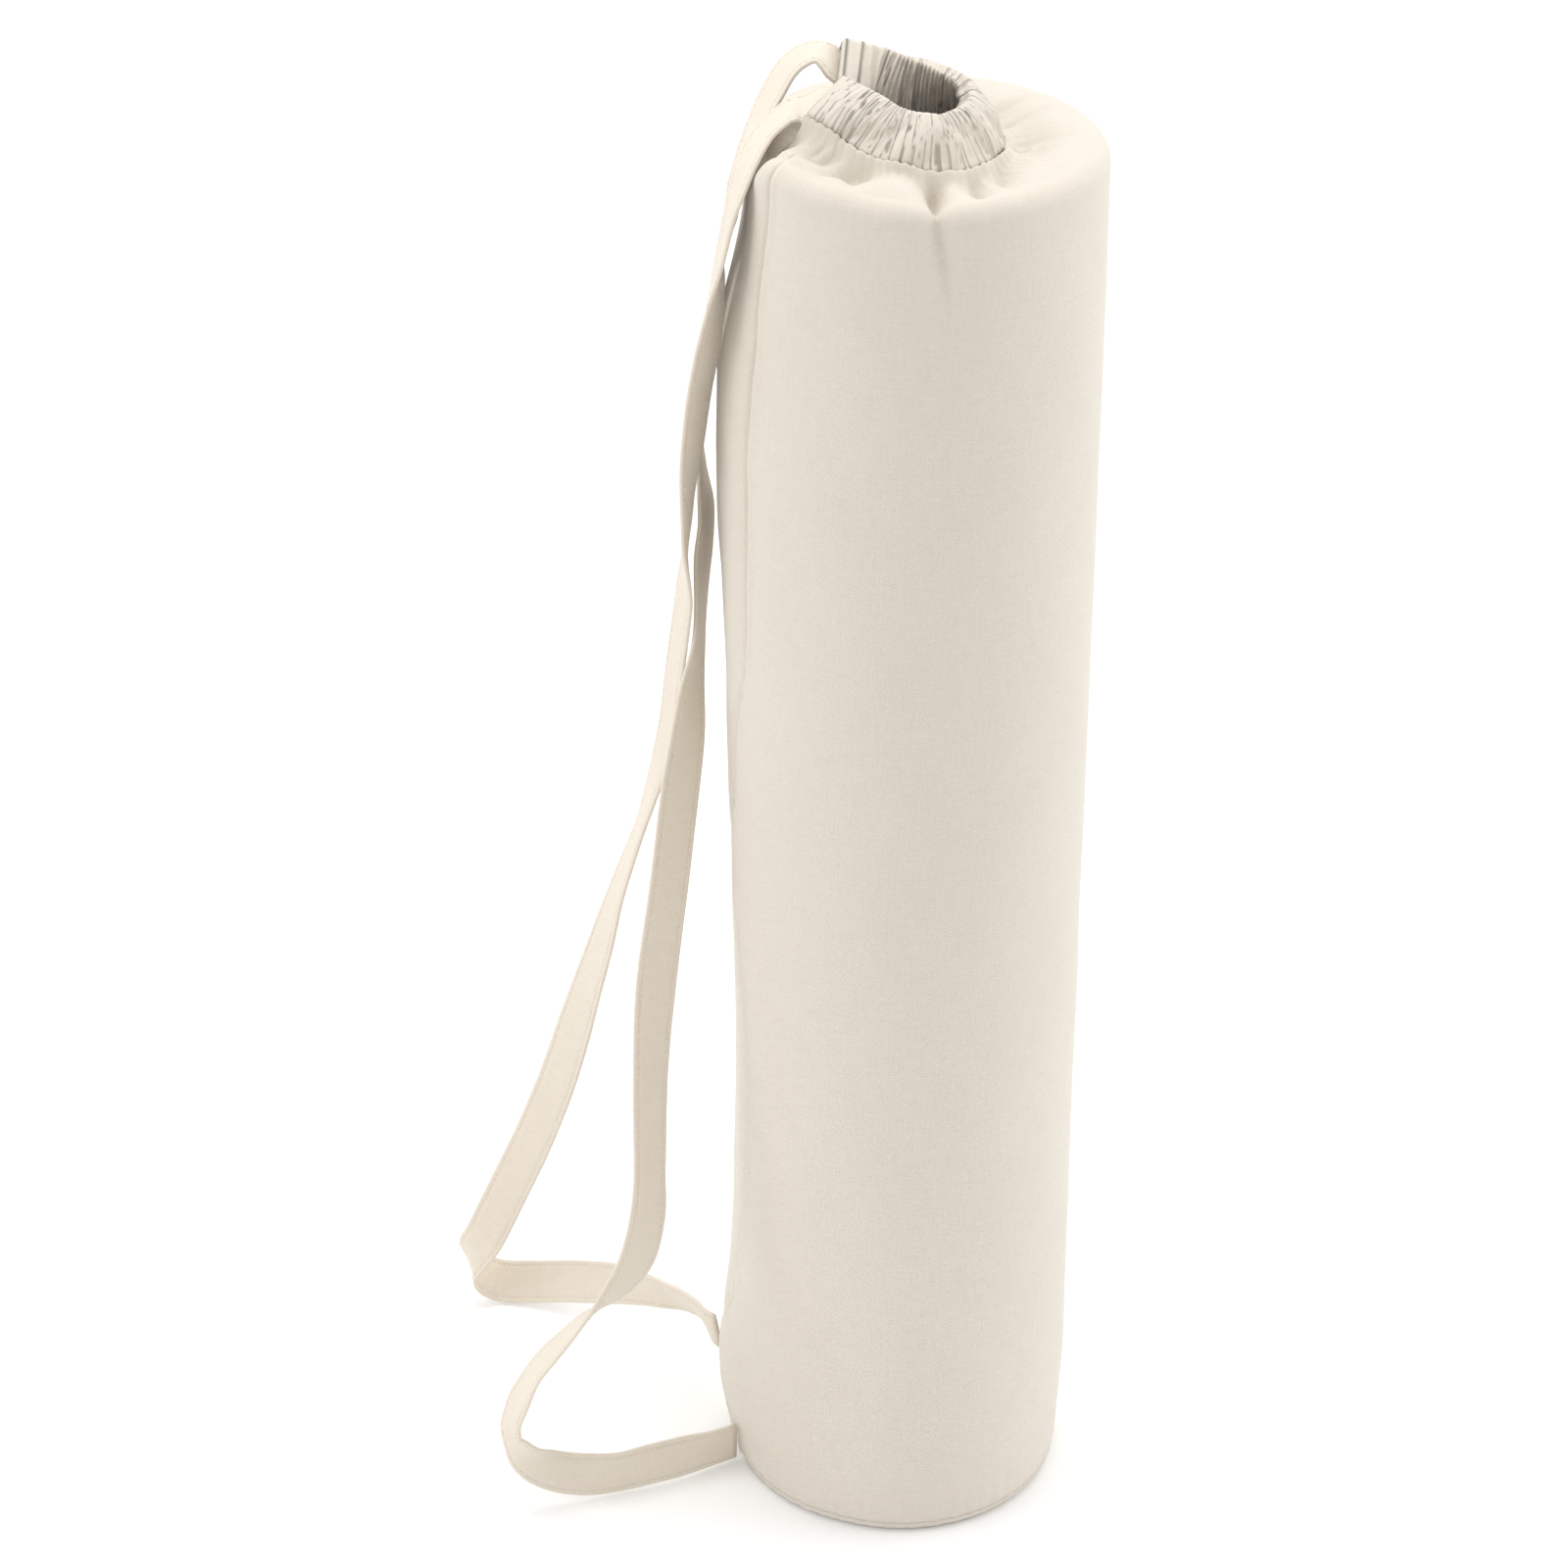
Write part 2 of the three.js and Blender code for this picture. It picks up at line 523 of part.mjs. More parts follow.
// The route of the strap: points of its middle and the way that its width points.
function widthWay(row) {
  const edge = radians(row.edge);
  const tip = radians(row.tip);
  const level = Math.cos(tip);
  return new THREE.Vector3(level * Math.cos(edge), level * Math.sin(edge), Math.sin(tip));
}

function routePoint(row, radius, width) {
  const angle = radians(row.bearing);
  const half = (Math.abs(width.z) * STRAP_WIDTH) / 2;
  const height = GAP + row.up * (CHANNEL_Z - half) + half;
  return new THREE.Vector3(radius * Math.cos(angle), radius * Math.sin(angle), height);
}

function armStations(rows, sewn) {
  const stations = rows.map((row) => {
    const width = widthWay(row);
    const radius = row.hug * BODY_RADIUS + row.out * STRAP_REACH;
    return { point: routePoint(row, radius, width), width };
  });
  const width = widthWay(sewn);
  const end = routePoint(sewn, 0, width);
  const wall = wallRadius(sewn.bearing, end.z / BODY_HEIGHT);
  const point = routePoint(sewn, wall + sewn.clear, width);
  return [...stations, { point, width }];
}

function channelStations() {
  const stations = [];
  const steps = 24;
  for (let step = 0; step <= steps; step += 1) {
    const frame = channelFrame(mix(REAR_END, FRONT_END, step / steps));
    stations.push({ point: frame.centre, width: frame.upward.clone().negate() });
  }
  const extend = (end, before) => {
    const away = end.point.clone().sub(before.point).setLength(ARM_LEAD);
    return { point: end.point.clone().add(away), width: end.width };
  };
  const lead = extend(stations[0], stations[1]);
  const tail = extend(stations[steps], stations[steps - 1]);
  return [lead, ...stations, tail];
}

function strapStations() {
  const rear = armStations(REAR_ARM, REAR_SEWN).reverse();
  return [...rear, ...channelStations(), ...armStations(FRONT_ARM, FRONT_SEWN)];
}

// A thin box bent along a route, its width turned as the stations say.
function ribbon(stations) {
  const middle = new THREE.CatmullRomCurve3(stations.map((s) => s.point), false, 'centripetal');
  const widths = new THREE.CatmullRomCurve3(stations.map((s) => s.width), false, 'catmullrom');
  middle.arcLengthDivisions = 4000;
  const length = middle.getLength();
  const steps = Math.round(length / STRAP_STEP);
  const geometry = new THREE.BoxGeometry(STRAP_WIDTH, STRAP_THICKNESS, length, 1, 1, steps);
  const position = geometry.getAttribute('position');
  for (let number = 0; number < position.count; number += 1) {
    const share = THREE.MathUtils.clamp(position.getZ(number) / length + 0.5, 0, 1);
    const at = middle.getUtoTmapping(share);
    const along = middle.getTangent(at);
    const width = widths.getPoint(at);
    width.addScaledVector(along, -width.dot(along)).normalize();
    const face = along.clone().cross(width);
    const point = middle.getPoint(at);
    point.addScaledVector(width, position.getX(number));
    point.addScaledVector(face, position.getY(number));
    position.setXYZ(number, point.x, point.y, point.z);
  }
  return weld(geometry);
}

// One long flat strap.
function strap() {
  return named('strap', ribbon(strapStations()), cloth('#e6ddcf'));
}

const bag = new THREE.Group();
bag.name = 'yoga_mat_bag';
bag.add(body(), basePanel(), drawstringChannel(), strap());
export default bag;
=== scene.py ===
# %% [markdown]
# # A drawstring bag for a rolled yoga mat
#
# The bag stands on a round base. Its tall tube of cloth is gathered at the top into a channel,
# and one long flat strap runs through the channel, hangs down in two arms beside the side seam
# and is sewn into that seam near the base.
#
# The frame comes in first, with the sizes of the finished part. Everything below is made in
# millimetres and turned into metres at the last step.

# %% Load the frame
import math

import bmesh
import bpy
import numpy as np
from mathutils import Matrix, Vector


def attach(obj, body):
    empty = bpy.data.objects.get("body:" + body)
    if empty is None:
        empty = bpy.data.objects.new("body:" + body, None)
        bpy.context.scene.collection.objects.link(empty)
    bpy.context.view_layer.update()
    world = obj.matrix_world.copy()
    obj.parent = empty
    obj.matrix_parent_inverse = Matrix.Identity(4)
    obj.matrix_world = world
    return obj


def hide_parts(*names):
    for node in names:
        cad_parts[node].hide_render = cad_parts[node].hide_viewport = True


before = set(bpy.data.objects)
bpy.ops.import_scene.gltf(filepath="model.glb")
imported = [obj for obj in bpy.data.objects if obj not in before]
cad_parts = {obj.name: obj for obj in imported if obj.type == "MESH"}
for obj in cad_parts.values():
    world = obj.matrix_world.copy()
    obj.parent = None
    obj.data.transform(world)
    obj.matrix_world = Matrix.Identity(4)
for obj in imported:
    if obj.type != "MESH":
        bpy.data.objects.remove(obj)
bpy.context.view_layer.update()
MM = 0.001
print("frame pieces:", sorted(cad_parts))

# %% [markdown]
# ## The camera
#
# A long lens, a little under one and a half metres away, looks thirty degrees down at the bag.

# %% Camera
lens = bpy.data.cameras.new("camera")
lens.lens = 97.83
lens.sensor_width = 36
camera = bpy.data.objects.new("camera", lens)
camera.location = (-0.65307, -1.47352, 1.29298)
camera.rotation_euler = (math.radians(59.836), 0, math.radians(-22))
bpy.context.scene.collection.objects.link(camera)
bpy.context.scene.camera = camera
print("camera stands", round(camera.location.length, 2), "m away")

# %% [markdown]
# ## Sizes
#
# Named sizes and short tables as in the part: bearings in degrees round the bag, the other
# columns as shares of a named size. The last rows of each arm of the strap turn it a little
# further towards the way the real strap lies on the floor.

# %% Sizes of the bag
BODY_RADIUS = 78
BODY_HEIGHT = 658
CLOTH = 1.6
GAP = 0.3
NECK_GAP = 0.9
WALL_BOTTOM = 5.6
BASE_TURN_UP = 5.3
BASE_CLOTH = 2
BOTTOM_TUCK = 0.8
SHOULDER_ROUND = 9
SHOULDER_RISE = 6
DENT_DEPTH = 4
SEAM_DEPTH = 2.6
SEAM_WIDTH = 4.5
SLIT_DIP = 18
LIP_SAG = 1.2
LIP_LIFT = 2
CREASE_MOST = 3.2
MOUTH_RADIUS = 21
MOUTH = (-3, -3)
CHANNEL_INSIDE = 22.8
CHANNEL_ROOM = 6
CHANNEL_CLOTH = 1.3
CHANNEL_HEIGHT = CHANNEL_INSIDE + 2 * CHANNEL_CLOTH
CHANNEL_DEPTH = CHANNEL_ROOM + 2 * CHANNEL_CLOTH
CHANNEL_Z = BODY_HEIGHT + CHANNEL_HEIGHT / 2
STRAP_WIDTH = 21
STRAP_REACH = 130

# bearing, span, up, tall, depth
DENTS = [
    (158, 26, 0.82, 0.13, -0.95), (160, 28, 0.99, 0.08, 2.4), (158, 26, 0.35, 0.13, 0.6),
    (160, 16, 0.07, 0.06, -1.6), (334, 30, 0, 0.05, 0.5), (228, 12, 0.12, 0.12, 0.35),
    (262, 14, 0.62, 0.14, 0.25),
]
# up, bearing
SEAM = [
    (0, 172), (0.04, 162), (0.09, 159), (0.15, 170), (0.25, 179), (0.4, 177), (0.5, 165),
    (0.6, 175), (0.68, 184), (0.8, 185.5), (0.92, 190), (1, 195),
]
# bearing, rise
SHOULDER = [
    (0, 0), (100, 0), (140, -0.5), (160, -1.6), (177, -1.18), (190, 0.76), (198, 1),
    (214, 0.6), (236, 0.15), (260, 0), (360, 0),
]
# bearing, radius, lift, lean
CHANNEL = [
    (117, 1.62, 0.82, -66), (102, 1.3, 0.7, -46), (82, 1.05, 0.56, -16), (45, 1.02, 0.48, 8),
    (0, 1.25, 0.38, 29), (-45, 1.36, 0.35, 39), (-90, 1.4, 0.33, 44), (-130, 1.37, 0.46, 52),
    (-160, 1.42, 0.65, 59), (-186, 1.72, 0.74, 64),
]
REAR_END = CHANNEL[0][0]
FRONT_END = CHANNEL[-1][0]

# bearing, hug, out, up, edge, tip
REAR_ARM = [
    (130, 0.56, 0, 1.022, 237, -4), (133.3, 0.64, 0, 1.02, 251, -4),
    (137, 0.71, 0, 1.013, 264, 2), (141.6, 0.77, 0, 1, 272, 10), (148, 0.82, 0, 0.986, 274, 18),
    (160, 0.887, 0, 0.968, 270, 20), (166, 0.948, 0, 0.952, 264, 14),
    (164, 0.972, 0, 0.936, 257, 2), (159, 1, 0.019, 0.897, 251, -6),
    (158.5, 1, 0.062, 0.844, 252, -8), (157, 1, 0.092, 0.803, 250, -8),
    (153, 1, 0.091, 0.774, 246, -8), (151.2, 1, 0.083, 0.745, 241, -7),
    (151.6, 1, 0.07, 0.721, 233, -4), (152.8, 1, 0.078, 0.696, 229, 3),
    (154.5, 1, 0.086, 0.66, 236, 10), (156.7, 1, 0.094, 0.636, 235, 14),
    (160, 1, 0.119, 0.604, 218, 13), (162.2, 1, 0.136, 0.571, 203, 12),
    (165, 1, 0.163, 0.538, 195, 12), (169.4, 1, 0.215, 0.472, 193, 12),
    (173.3, 1, 0.276, 0.405, 190, 11), (176.6, 1, 0.317, 0.337, 202, 8),
    (180, 1, 0.345, 0.266, 207, 8), (181, 1, 0.366, 0.23, 196, 12),
    (181.2, 1, 0.416, 0.196, 193, 22), (180.2, 1, 0.498, 0.171, 212, 26),
    (179, 1, 0.6, 0.155, 240, 10), (178, 1, 0.68, 0.138, 244, -2),
    (176.9, 1, 0.75, 0.118, 250, -6), (175.6, 1, 0.8, 0.093, 260, -8),
    (174, 1, 0.83, 0.072, 267, -2), (174.3, 1, 0.842, 0.052, 281, 15),
    (175.4, 1, 0.818, 0.037, 303, 34), (176, 1, 0.764, 0.0215, 342, 49),
    (176.5, 1, 0.68, 0.0095, 18, 66), (177.2, 1, 0.583, 0.004, 48, 73),
    (178, 1, 0.474, 0.002, 60, 82), (178.2, 1, 0.356, 0.003, 50, 78),
    (178, 1, 0.236, 0.003, 120, 80), (177.2, 1, 0.12, 0.0025, 185, 76),
]
FRONT_ARM = [
    (170.4, 0.61, 0, 1.003, 246, -14), (170.3, 0.67, 0, 1.003, 259, 0),
    (170.6, 0.735, 0, 0.998, 266, 8), (172, 0.82, 0, 0.99, 273, 15),
    (176, 0.915, 0, 0.977, 272, 18), (178.2, 0.97, 0, 0.966, 264, 11),
    (178.3, 1.01, 0, 0.953, 256, 2), (177.8, 1.03, 0, 0.94, 251, -3),
    (176.5, 1, 0.038, 0.918, 248, -5), (174.8, 1, 0.05, 0.894, 232, -4),
    (172, 1, 0.072, 0.855, 219, -2), (169.5, 1, 0.098, 0.817, 219, -3),
    (166.7, 1, 0.116, 0.775, 224, -5), (164.7, 1, 0.126, 0.745, 234, -8),
    (162.5, 1, 0.13, 0.715, 242, -10), (160, 1, 0.134, 0.68, 262, -12),
    (158, 1, 0.146, 0.656, 265, -14), (153.5, 1, 0.18, 0.605, 266, -16),
    (148.5, 1, 0.222, 0.549, 265, -16), (145.3, 1, 0.283, 0.506, 255, -16),
    (142.6, 1, 0.354, 0.461, 249, -15), (140.3, 1, 0.435, 0.415, 256, -16),
    (138.2, 1, 0.515, 0.366, 270, -18), (136.4, 1, 0.598, 0.317, 280, -19),
    (134.8, 1, 0.684, 0.266, 293, -20), (133.5, 1, 0.775, 0.215, 299, -21),
    (132.6, 1, 0.89, 0.158, 304, -23), (132.3, 1, 1.01, 0.104, 310, -26),
    (133.2, 1, 1.1, 0.06, 306, -32), (132.9, 1, 1.175, 0.027, 278, -42),
    (130.2, 1, 1.105, 0.003, 252, -52), (128.7, 1, 0.988, 0.004, 248, -52),
    (127.3, 1, 0.831, 0.011, 248, -52), (126.8, 1, 0.66, 0.0195, 256, -62),
    (128.6, 1, 0.52, 0.0305, 300, -78), (130.8, 1, 0.405, 0.0395, 338, -72),
    (133.2, 1, 0.302, 0.0485, 340, -58), (140.8, 1, 0.185, 0.0625, 332, -56),
    (148.8, 1, 0.116, 0.0675, 330, -69), (154, 1, 0.085, 0.069, 335, -76),
]
# bearing, up, edge, tip and the space left to the wall
REAR_SEWN = (176, 0.003, 195, 73, 1.1)
FRONT_SEWN = (157, 0.0695, 338, -78, 3.1)
ARM_LEAD = 4
print("strap arms:", len(REAR_ARM), "and", len(FRONT_ARM), "rows")

# %% [markdown]
# ## Small tools for smooth shapes
#
# A soft step, a bell, the way round between two bearings, and tables read smoothly between
# their rows. `bent` runs a smooth curve through points; its two kinds are the ones that drew
# the strap and the channel of the part.

# %% Shape tools
def smooth(share):
    share = np.clip(share, 0, 1)
    return share * share * (3 - 2 * share)


def mix(low, high, share):
    return low + (high - low) * share


def apart(bearing, other):
    return (bearing - other + 180) % 360 - 180


def bell(distance, width):
    return np.exp(-((distance / width) ** 2))


def crest(distance, width, soft=0.25):
    """One at the middle, falling to nothing, with a nearly sharp tip."""
    return np.exp(soft - np.sqrt((distance / width) ** 2 + soft**2))


def between(table, at, column=1):
    """A column of a table, smoothly between the rows, read by its first column."""
    rows = np.array(sorted(table), float)
    at = np.clip(at, rows[0, 0], rows[-1, 0])
    high = np.clip(np.searchsorted(rows[:, 0], at), 1, len(rows) - 1)
    low = high - 1
    share = smooth((at - rows[low, 0]) / (rows[high, 0] - rows[low, 0]))
    return mix(rows[low, column], rows[high, column], share)


def along(table, at, column=1):
    """The same, with straight lines between the rows."""
    rows = np.array(sorted(table), float)
    return np.interp(at, rows[:, 0], rows[:, column])


def bent(points, at, even=False):
    """Points of a smooth curve through the given ones, at shares of the way along its rows."""
    last = len(points) - 1
    ahead = np.vstack([2 * points[0] - points[1], points, 2 * points[last] - points[last - 1]])
    at = np.clip(at, 0, 1) * last
    row = np.minimum(at.astype(int), last - 1)
    share = (at - row)[:, None]
    p0, p1, p2, p3 = ahead[row], ahead[row + 1], ahead[row + 2], ahead[row + 3]
    if even:
        leave, arrive = (p2 - p0) / 2, (p3 - p1) / 2
    else:
        d0, d1, d2 = [
            np.maximum(np.linalg.norm(b - a, axis=1, keepdims=True) ** 0.5, 1e-4)
            for a, b in ((p0, p1), (p1, p2), (p2, p3))
        ]
        leave = d1 * ((p1 - p0) / d0 - (p2 - p0) / (d0 + d1) + (p2 - p1) / d1)
        arrive = d1 * ((p2 - p1) / d1 - (p3 - p1) / (d1 + d2) + (p3 - p2) / d2)
    two = -3 * p1 + 3 * p2 - 2 * leave - arrive
    three = 2 * p1 - 2 * p2 + leave + arrive
    return p1 + leave * share + two * share**2 + three * share**3


def unit(vectors):
    return vectors / np.linalg.norm(vectors, axis=-1, keepdims=True)


def heading(points, at, near):
    """The way that the curve runs, from a little before to a little after."""
    after = bent(points, np.minimum(at + near, 1))
    return unit(after - bent(points, np.maximum(at - near, 0)))


def ripple(across, up, seed):
    """Soft uneven waves, about one high, over a surface measured in turns of its own size."""
    waves = 0
    for number in range(5):
        turn = seed + 1.7 * number
        pull = math.cos(turn) * across * (1 + number) + math.sin(turn) * up * (1.3 + number)
        waves = waves + np.sin(2 * math.pi * pull + 5 * turn) / (1 + 0.6 * number)
    return waves / 2.2


def show(name, mesh):
    thing = bpy.data.objects.new(name, mesh)
    bpy.context.scene.collection.objects.link(thing)
    mesh.shade_smooth()
    print(name, "has", sum(len(face.vertices) - 2 for face in mesh.polygons), "triangles")
    return thing


def lay_threads(mesh, across, up, whole):
    """Writes where each point lies in the flat cloth, in metres, for the weave."""
    count = len(mesh.loops)
    corner = np.zeros(count, np.int32)
    mesh.loops.foreach_get("vertex_index", corner)
    start = np.zeros(len(mesh.polygons), np.int32)
    mesh.polygons.foreach_get("loop_start", start)
    total = np.zeros(len(mesh.polygons), np.int32)
    mesh.polygons.foreach_get("loop_total", total)
    face = np.repeat(np.arange(len(start)), total)
    flat = across[corner]
    top = np.zeros(len(start))
    np.maximum.at(top, face, flat)
    flat = np.where(top[face] - flat > whole / 2, flat + whole, flat)
    layer = mesh.uv_layers.new(name="thread")
    layer.data.foreach_set("uv", np.stack([flat, up[corner]], 1).astype(np.float32).ravel())


def ring_of_cloth(name, rows, columns, place):
    """A closed skin: a loop of rows is spun round the bag, and every point moved to its place.
    place gives the point in millimetres and the row's place in the flat cloth."""
    bm = bmesh.new()
    stand = Matrix.Translation((3, 0, 0)) @ Matrix.Rotation(math.pi / 2, 4, "X")
    bmesh.ops.create_circle(bm, cap_ends=False, radius=1, segments=rows, matrix=stand)
    loop = bm.verts[:] + bm.edges[:]
    full = 2 * math.pi
    bmesh.ops.spin(
        bm, geom=loop, cent=(0, 0, 0), axis=(0, 0, 1), angle=full, steps=columns, use_merge=True
    )
    found = np.array([vert.co for vert in bm.verts])
    turn = np.arctan2(found[:, 1], found[:, 0]) / full
    column = np.rint(turn * columns).astype(int) % columns
    turn = np.arctan2(found[:, 2], np.hypot(found[:, 0], found[:, 1]) - 3) / full
    row = np.rint(turn * rows).astype(int) % rows
    points, across, up = place(row, column)
    for vert, point in zip(bm.verts, points * MM):
        vert.co = point
    bmesh.ops.recalc_face_normals(bm, faces=bm.faces[:])
    mesh = bpy.data.meshes.new(name)
    bm.to_mesh(mesh)
    bm.free()
    lay_threads(mesh, across * MM, up * MM, float(across.max() + across.max() / columns) * MM)
    return show(name, mesh)


print("shape tools are ready")

# %% [markdown]
# ## The channel's line
#
# The channel is a tube of cloth that runs round the mouth from its rear end to its front end.
# At each bearing it has a centre, an upward way and an outward way; the gathered top of the body
# starts just below it, and dips in the slit between its two ends.

# %% Line of the channel and neck of the body
def channel_points():
    rows = np.array(CHANNEL, float)
    angle = np.radians(rows[:, 0])
    radius = MOUTH_RADIUS * rows[:, 1]
    x = MOUTH[0] + radius * np.cos(angle)
    y = MOUTH[1] + radius * np.sin(angle)
    return np.stack([x, y, BODY_HEIGHT + CHANNEL_HEIGHT * rows[:, 2]], 1)


def channel_frame(bearing):
    bearing = np.clip(bearing, FRONT_END, REAR_END)
    rows = np.array(CHANNEL, float)
    number = np.arange(len(rows))
    at = np.interp(-bearing, -rows[:, 0], number)
    lean = np.radians(np.interp(at, number, rows[:, 3]))[:, None]
    share = at / (len(rows) - 1)
    points = channel_points()
    centre = bent(points, share)
    way = heading(points, share, 1e-4)
    level = unit(np.cross([0, 0, 1], way))
    rise = np.cross(way, level)
    upward = rise * np.cos(lean) - level * np.sin(lean)
    across = level * np.cos(lean) + rise * np.sin(lean)
    return centre, upward, across


def neck_frame(bearing):
    turned = REAR_END - (REAR_END - bearing) % 360
    below = -CHANNEL_HEIGHT / 2 - NECK_GAP
    centre, upward, across = channel_frame(turned)
    edge = centre + upward * below
    ends = channel_frame(np.array([FRONT_END, REAR_END], float))
    end_edge = ends[0] + ends[1] * below
    share = np.clip((FRONT_END - turned) / (360 - REAR_END + FRONT_END), 0, 1)[:, None]
    slit_edge = mix(end_edge[0], end_edge[1], share)
    slit_edge[:, 2] -= SLIT_DIP * np.sin(math.pi * share[:, 0])
    slit_across = unit(mix(ends[2][0], ends[2][1], share))
    in_slit = (turned < FRONT_END)[:, None]
    return np.where(in_slit, slit_edge, edge), np.where(in_slit, slit_across, across)


print("channel runs from", REAR_END, "to", FRONT_END, "degrees")

# %% [markdown]
# ## The strap
#
# One flat strap, about 1.8 m long. Its middle follows a smooth curve through the same rows as in
# the part, and its width turns with them. A rounded bar is cut into short lengths and every
# ring of points is moved onto the curve.

# %% Route of the strap
def width_way(edge, tip):
    edge, tip = np.radians(edge), np.radians(tip)
    return np.stack([np.cos(tip) * np.cos(edge), np.cos(tip) * np.sin(edge), np.sin(tip)], -1)


def route_points(bearing, radius, up, way):
    half = np.abs(way[..., 2]) * STRAP_WIDTH / 2
    angle = np.radians(bearing)
    height = GAP + up * (CHANNEL_Z - half) + half
    return np.stack([radius * np.cos(angle), radius * np.sin(angle), height], -1)


def plain_wall(bearing, up):
    radius = BODY_RADIUS + 0 * bearing + 0 * up
    for at, span, middle, tall, depth in DENTS:
        depth = DENT_DEPTH * depth * bell(apart(bearing, at), span)
        radius = radius - depth * bell(up - middle, tall)
    return radius


def wall_radius(bearing, up):
    seam = between(SEAM, up)
    return plain_wall(bearing, up) - SEAM_DEPTH * bell(apart(bearing, seam), SEAM_WIDTH)


def arm(rows, sewn):
    rows = np.array(rows, float)
    ways = width_way(rows[:, 4], rows[:, 5])
    reach = rows[:, 1] * BODY_RADIUS + rows[:, 2] * STRAP_REACH
    points = route_points(rows[:, 0], reach, rows[:, 3], ways)
    bearing, up, edge, tip, clear = sewn
    way = width_way(edge, tip)
    height = route_points(bearing, 0, up, way)[2]
    wall = wall_radius(np.array([float(bearing)]), np.array([height / BODY_HEIGHT]))
    end = route_points(bearing, float(wall[0]) + clear, up, way)
    return np.vstack([points, end]), np.vstack([ways, way])


def strap_route():
    rear, rear_ways = arm(REAR_ARM, REAR_SEWN)
    front, front_ways = arm(FRONT_ARM, FRONT_SEWN)
    centre, upward, _ = channel_frame(np.linspace(REAR_END, FRONT_END, 25))
    lead = centre[0] + unit(centre[0] - centre[1]) * ARM_LEAD
    tail = centre[-1] + unit(centre[-1] - centre[-2]) * ARM_LEAD
    inside = np.vstack([lead, centre, tail])
    inside_ways = -np.vstack([upward[0], upward, upward[-1]])
    points = np.vstack([rear[::-1], inside, front])
    return points, np.vstack([rear_ways[::-1], inside_ways, front_ways])


def even_steps(points, count):
    """Shares of the curve's rows that lie evenly along its length, and that length."""
    fine = np.linspace(0, 1, 12001)
    hops = np.linalg.norm(np.diff(bent(points, fine), axis=0), axis=1)
    run = np.concatenate([[0], np.cumsum(hops)])
    return np.interp(np.linspace(0, run[-1], count), run, fine), run[-1]


def strap_frame(shares):
    middle = bent(strap_points, shares)
    way = heading(strap_points, shares, 1e-5)
    width = bent(strap_ways, shares, even=True)
    width = unit(width - way * (width * way).sum(1, keepdims=True))
    return middle, way, width, np.cross(way, width)


strap_points, strap_ways = strap_route()
STRAP_STEPS = 640
strap_shares, strap_length = even_steps(strap_points, STRAP_STEPS + 1)
strap_middle, strap_way, strap_width, strap_face = strap_frame(strap_shares)
print("strap is", round(strap_length), "mm long")

# %% Strap
STITCH_IN = 2.5
STRAP_WAVE = 0.1
NO_WRAP = 10
HALF = STRAP_WIDTH / 2
# across the strap and out of its face, from its edge to its middle, with a groove at the stitches
EDGE_LINE = [
    (HALF, 0), (HALF - 0.1, 0.5), (HALF - 0.45, 0.78), (HALF - 1.2, 0.9), (HALF - 2.1, 0.88),
    (HALF - STITCH_IN, 0.64), (HALF - 2.9, 0.88), (HALF - 4.2, 0.95), (HALF - 7, 0.9), (0, 0.86),
]


def strap_section():
    side = EDGE_LINE + [(-w, f) for w, f in EDGE_LINE[-2::-1]]
    under = [(w, -f) for w, f in side[-2:0:-1]]
    return np.array(side + under)


def flat_strap():
    section = strap_section()
    count = len(section)
    bm = bmesh.new()
    bmesh.ops.create_cone(bm, cap_ends=True, segments=count, radius1=1, radius2=1, depth=1)
    long_edges = [edge for edge in bm.edges if abs(edge.verts[0].co.z - edge.verts[1].co.z) > 0.5]
    bmesh.ops.subdivide_edges(bm, edges=long_edges, cuts=STRAP_STEPS - 1, use_grid_fill=True)
    found = np.array([vert.co for vert in bm.verts])
    turn = np.arctan2(found[:, 1], found[:, 0])
    turn = (turn - turn[0]) / (2 * math.pi)
    corner = np.rint(turn * count).astype(int) % count
    step = np.rint((found[:, 2] + 0.5) * STRAP_STEPS).astype(int)
    run = step * strap_length / STRAP_STEPS
    offset = section[corner]
    wave = STRAP_WAVE * ripple(offset[:, 0] / 60, run / 90, 2.3)
    points = strap_middle[step] + strap_width[step] * offset[:, :1]
    points = points + strap_face[step] * (offset[:, 1:] + wave[:, None])
    for vert, point in zip(bm.verts, points * MM):
        vert.co = point
    bmesh.ops.recalc_face_normals(bm, faces=bm.faces[:])
    mesh = bpy.data.meshes.new("strap_ribbon")
    bm.to_mesh(mesh)
    bm.free()
    lay_threads(mesh, (offset[:, 0] + 2 * STRAP_WIDTH) * MM, run * MM, NO_WRAP)
    return show("strap_ribbon", mesh)


strap_ribbon = flat_strap()

# %% [markdown]
# The strap is folded canvas, so two rows of stitches hold it, close to its edges. Every stitch is
# a small ball of thread, drawn out along the strap.

# %% Stitches of the strap
STITCH_PITCH = 3.4
STITCH_LONG = 1.25
STITCH_THICK = 0.22
STITCH_OUT = 0.8


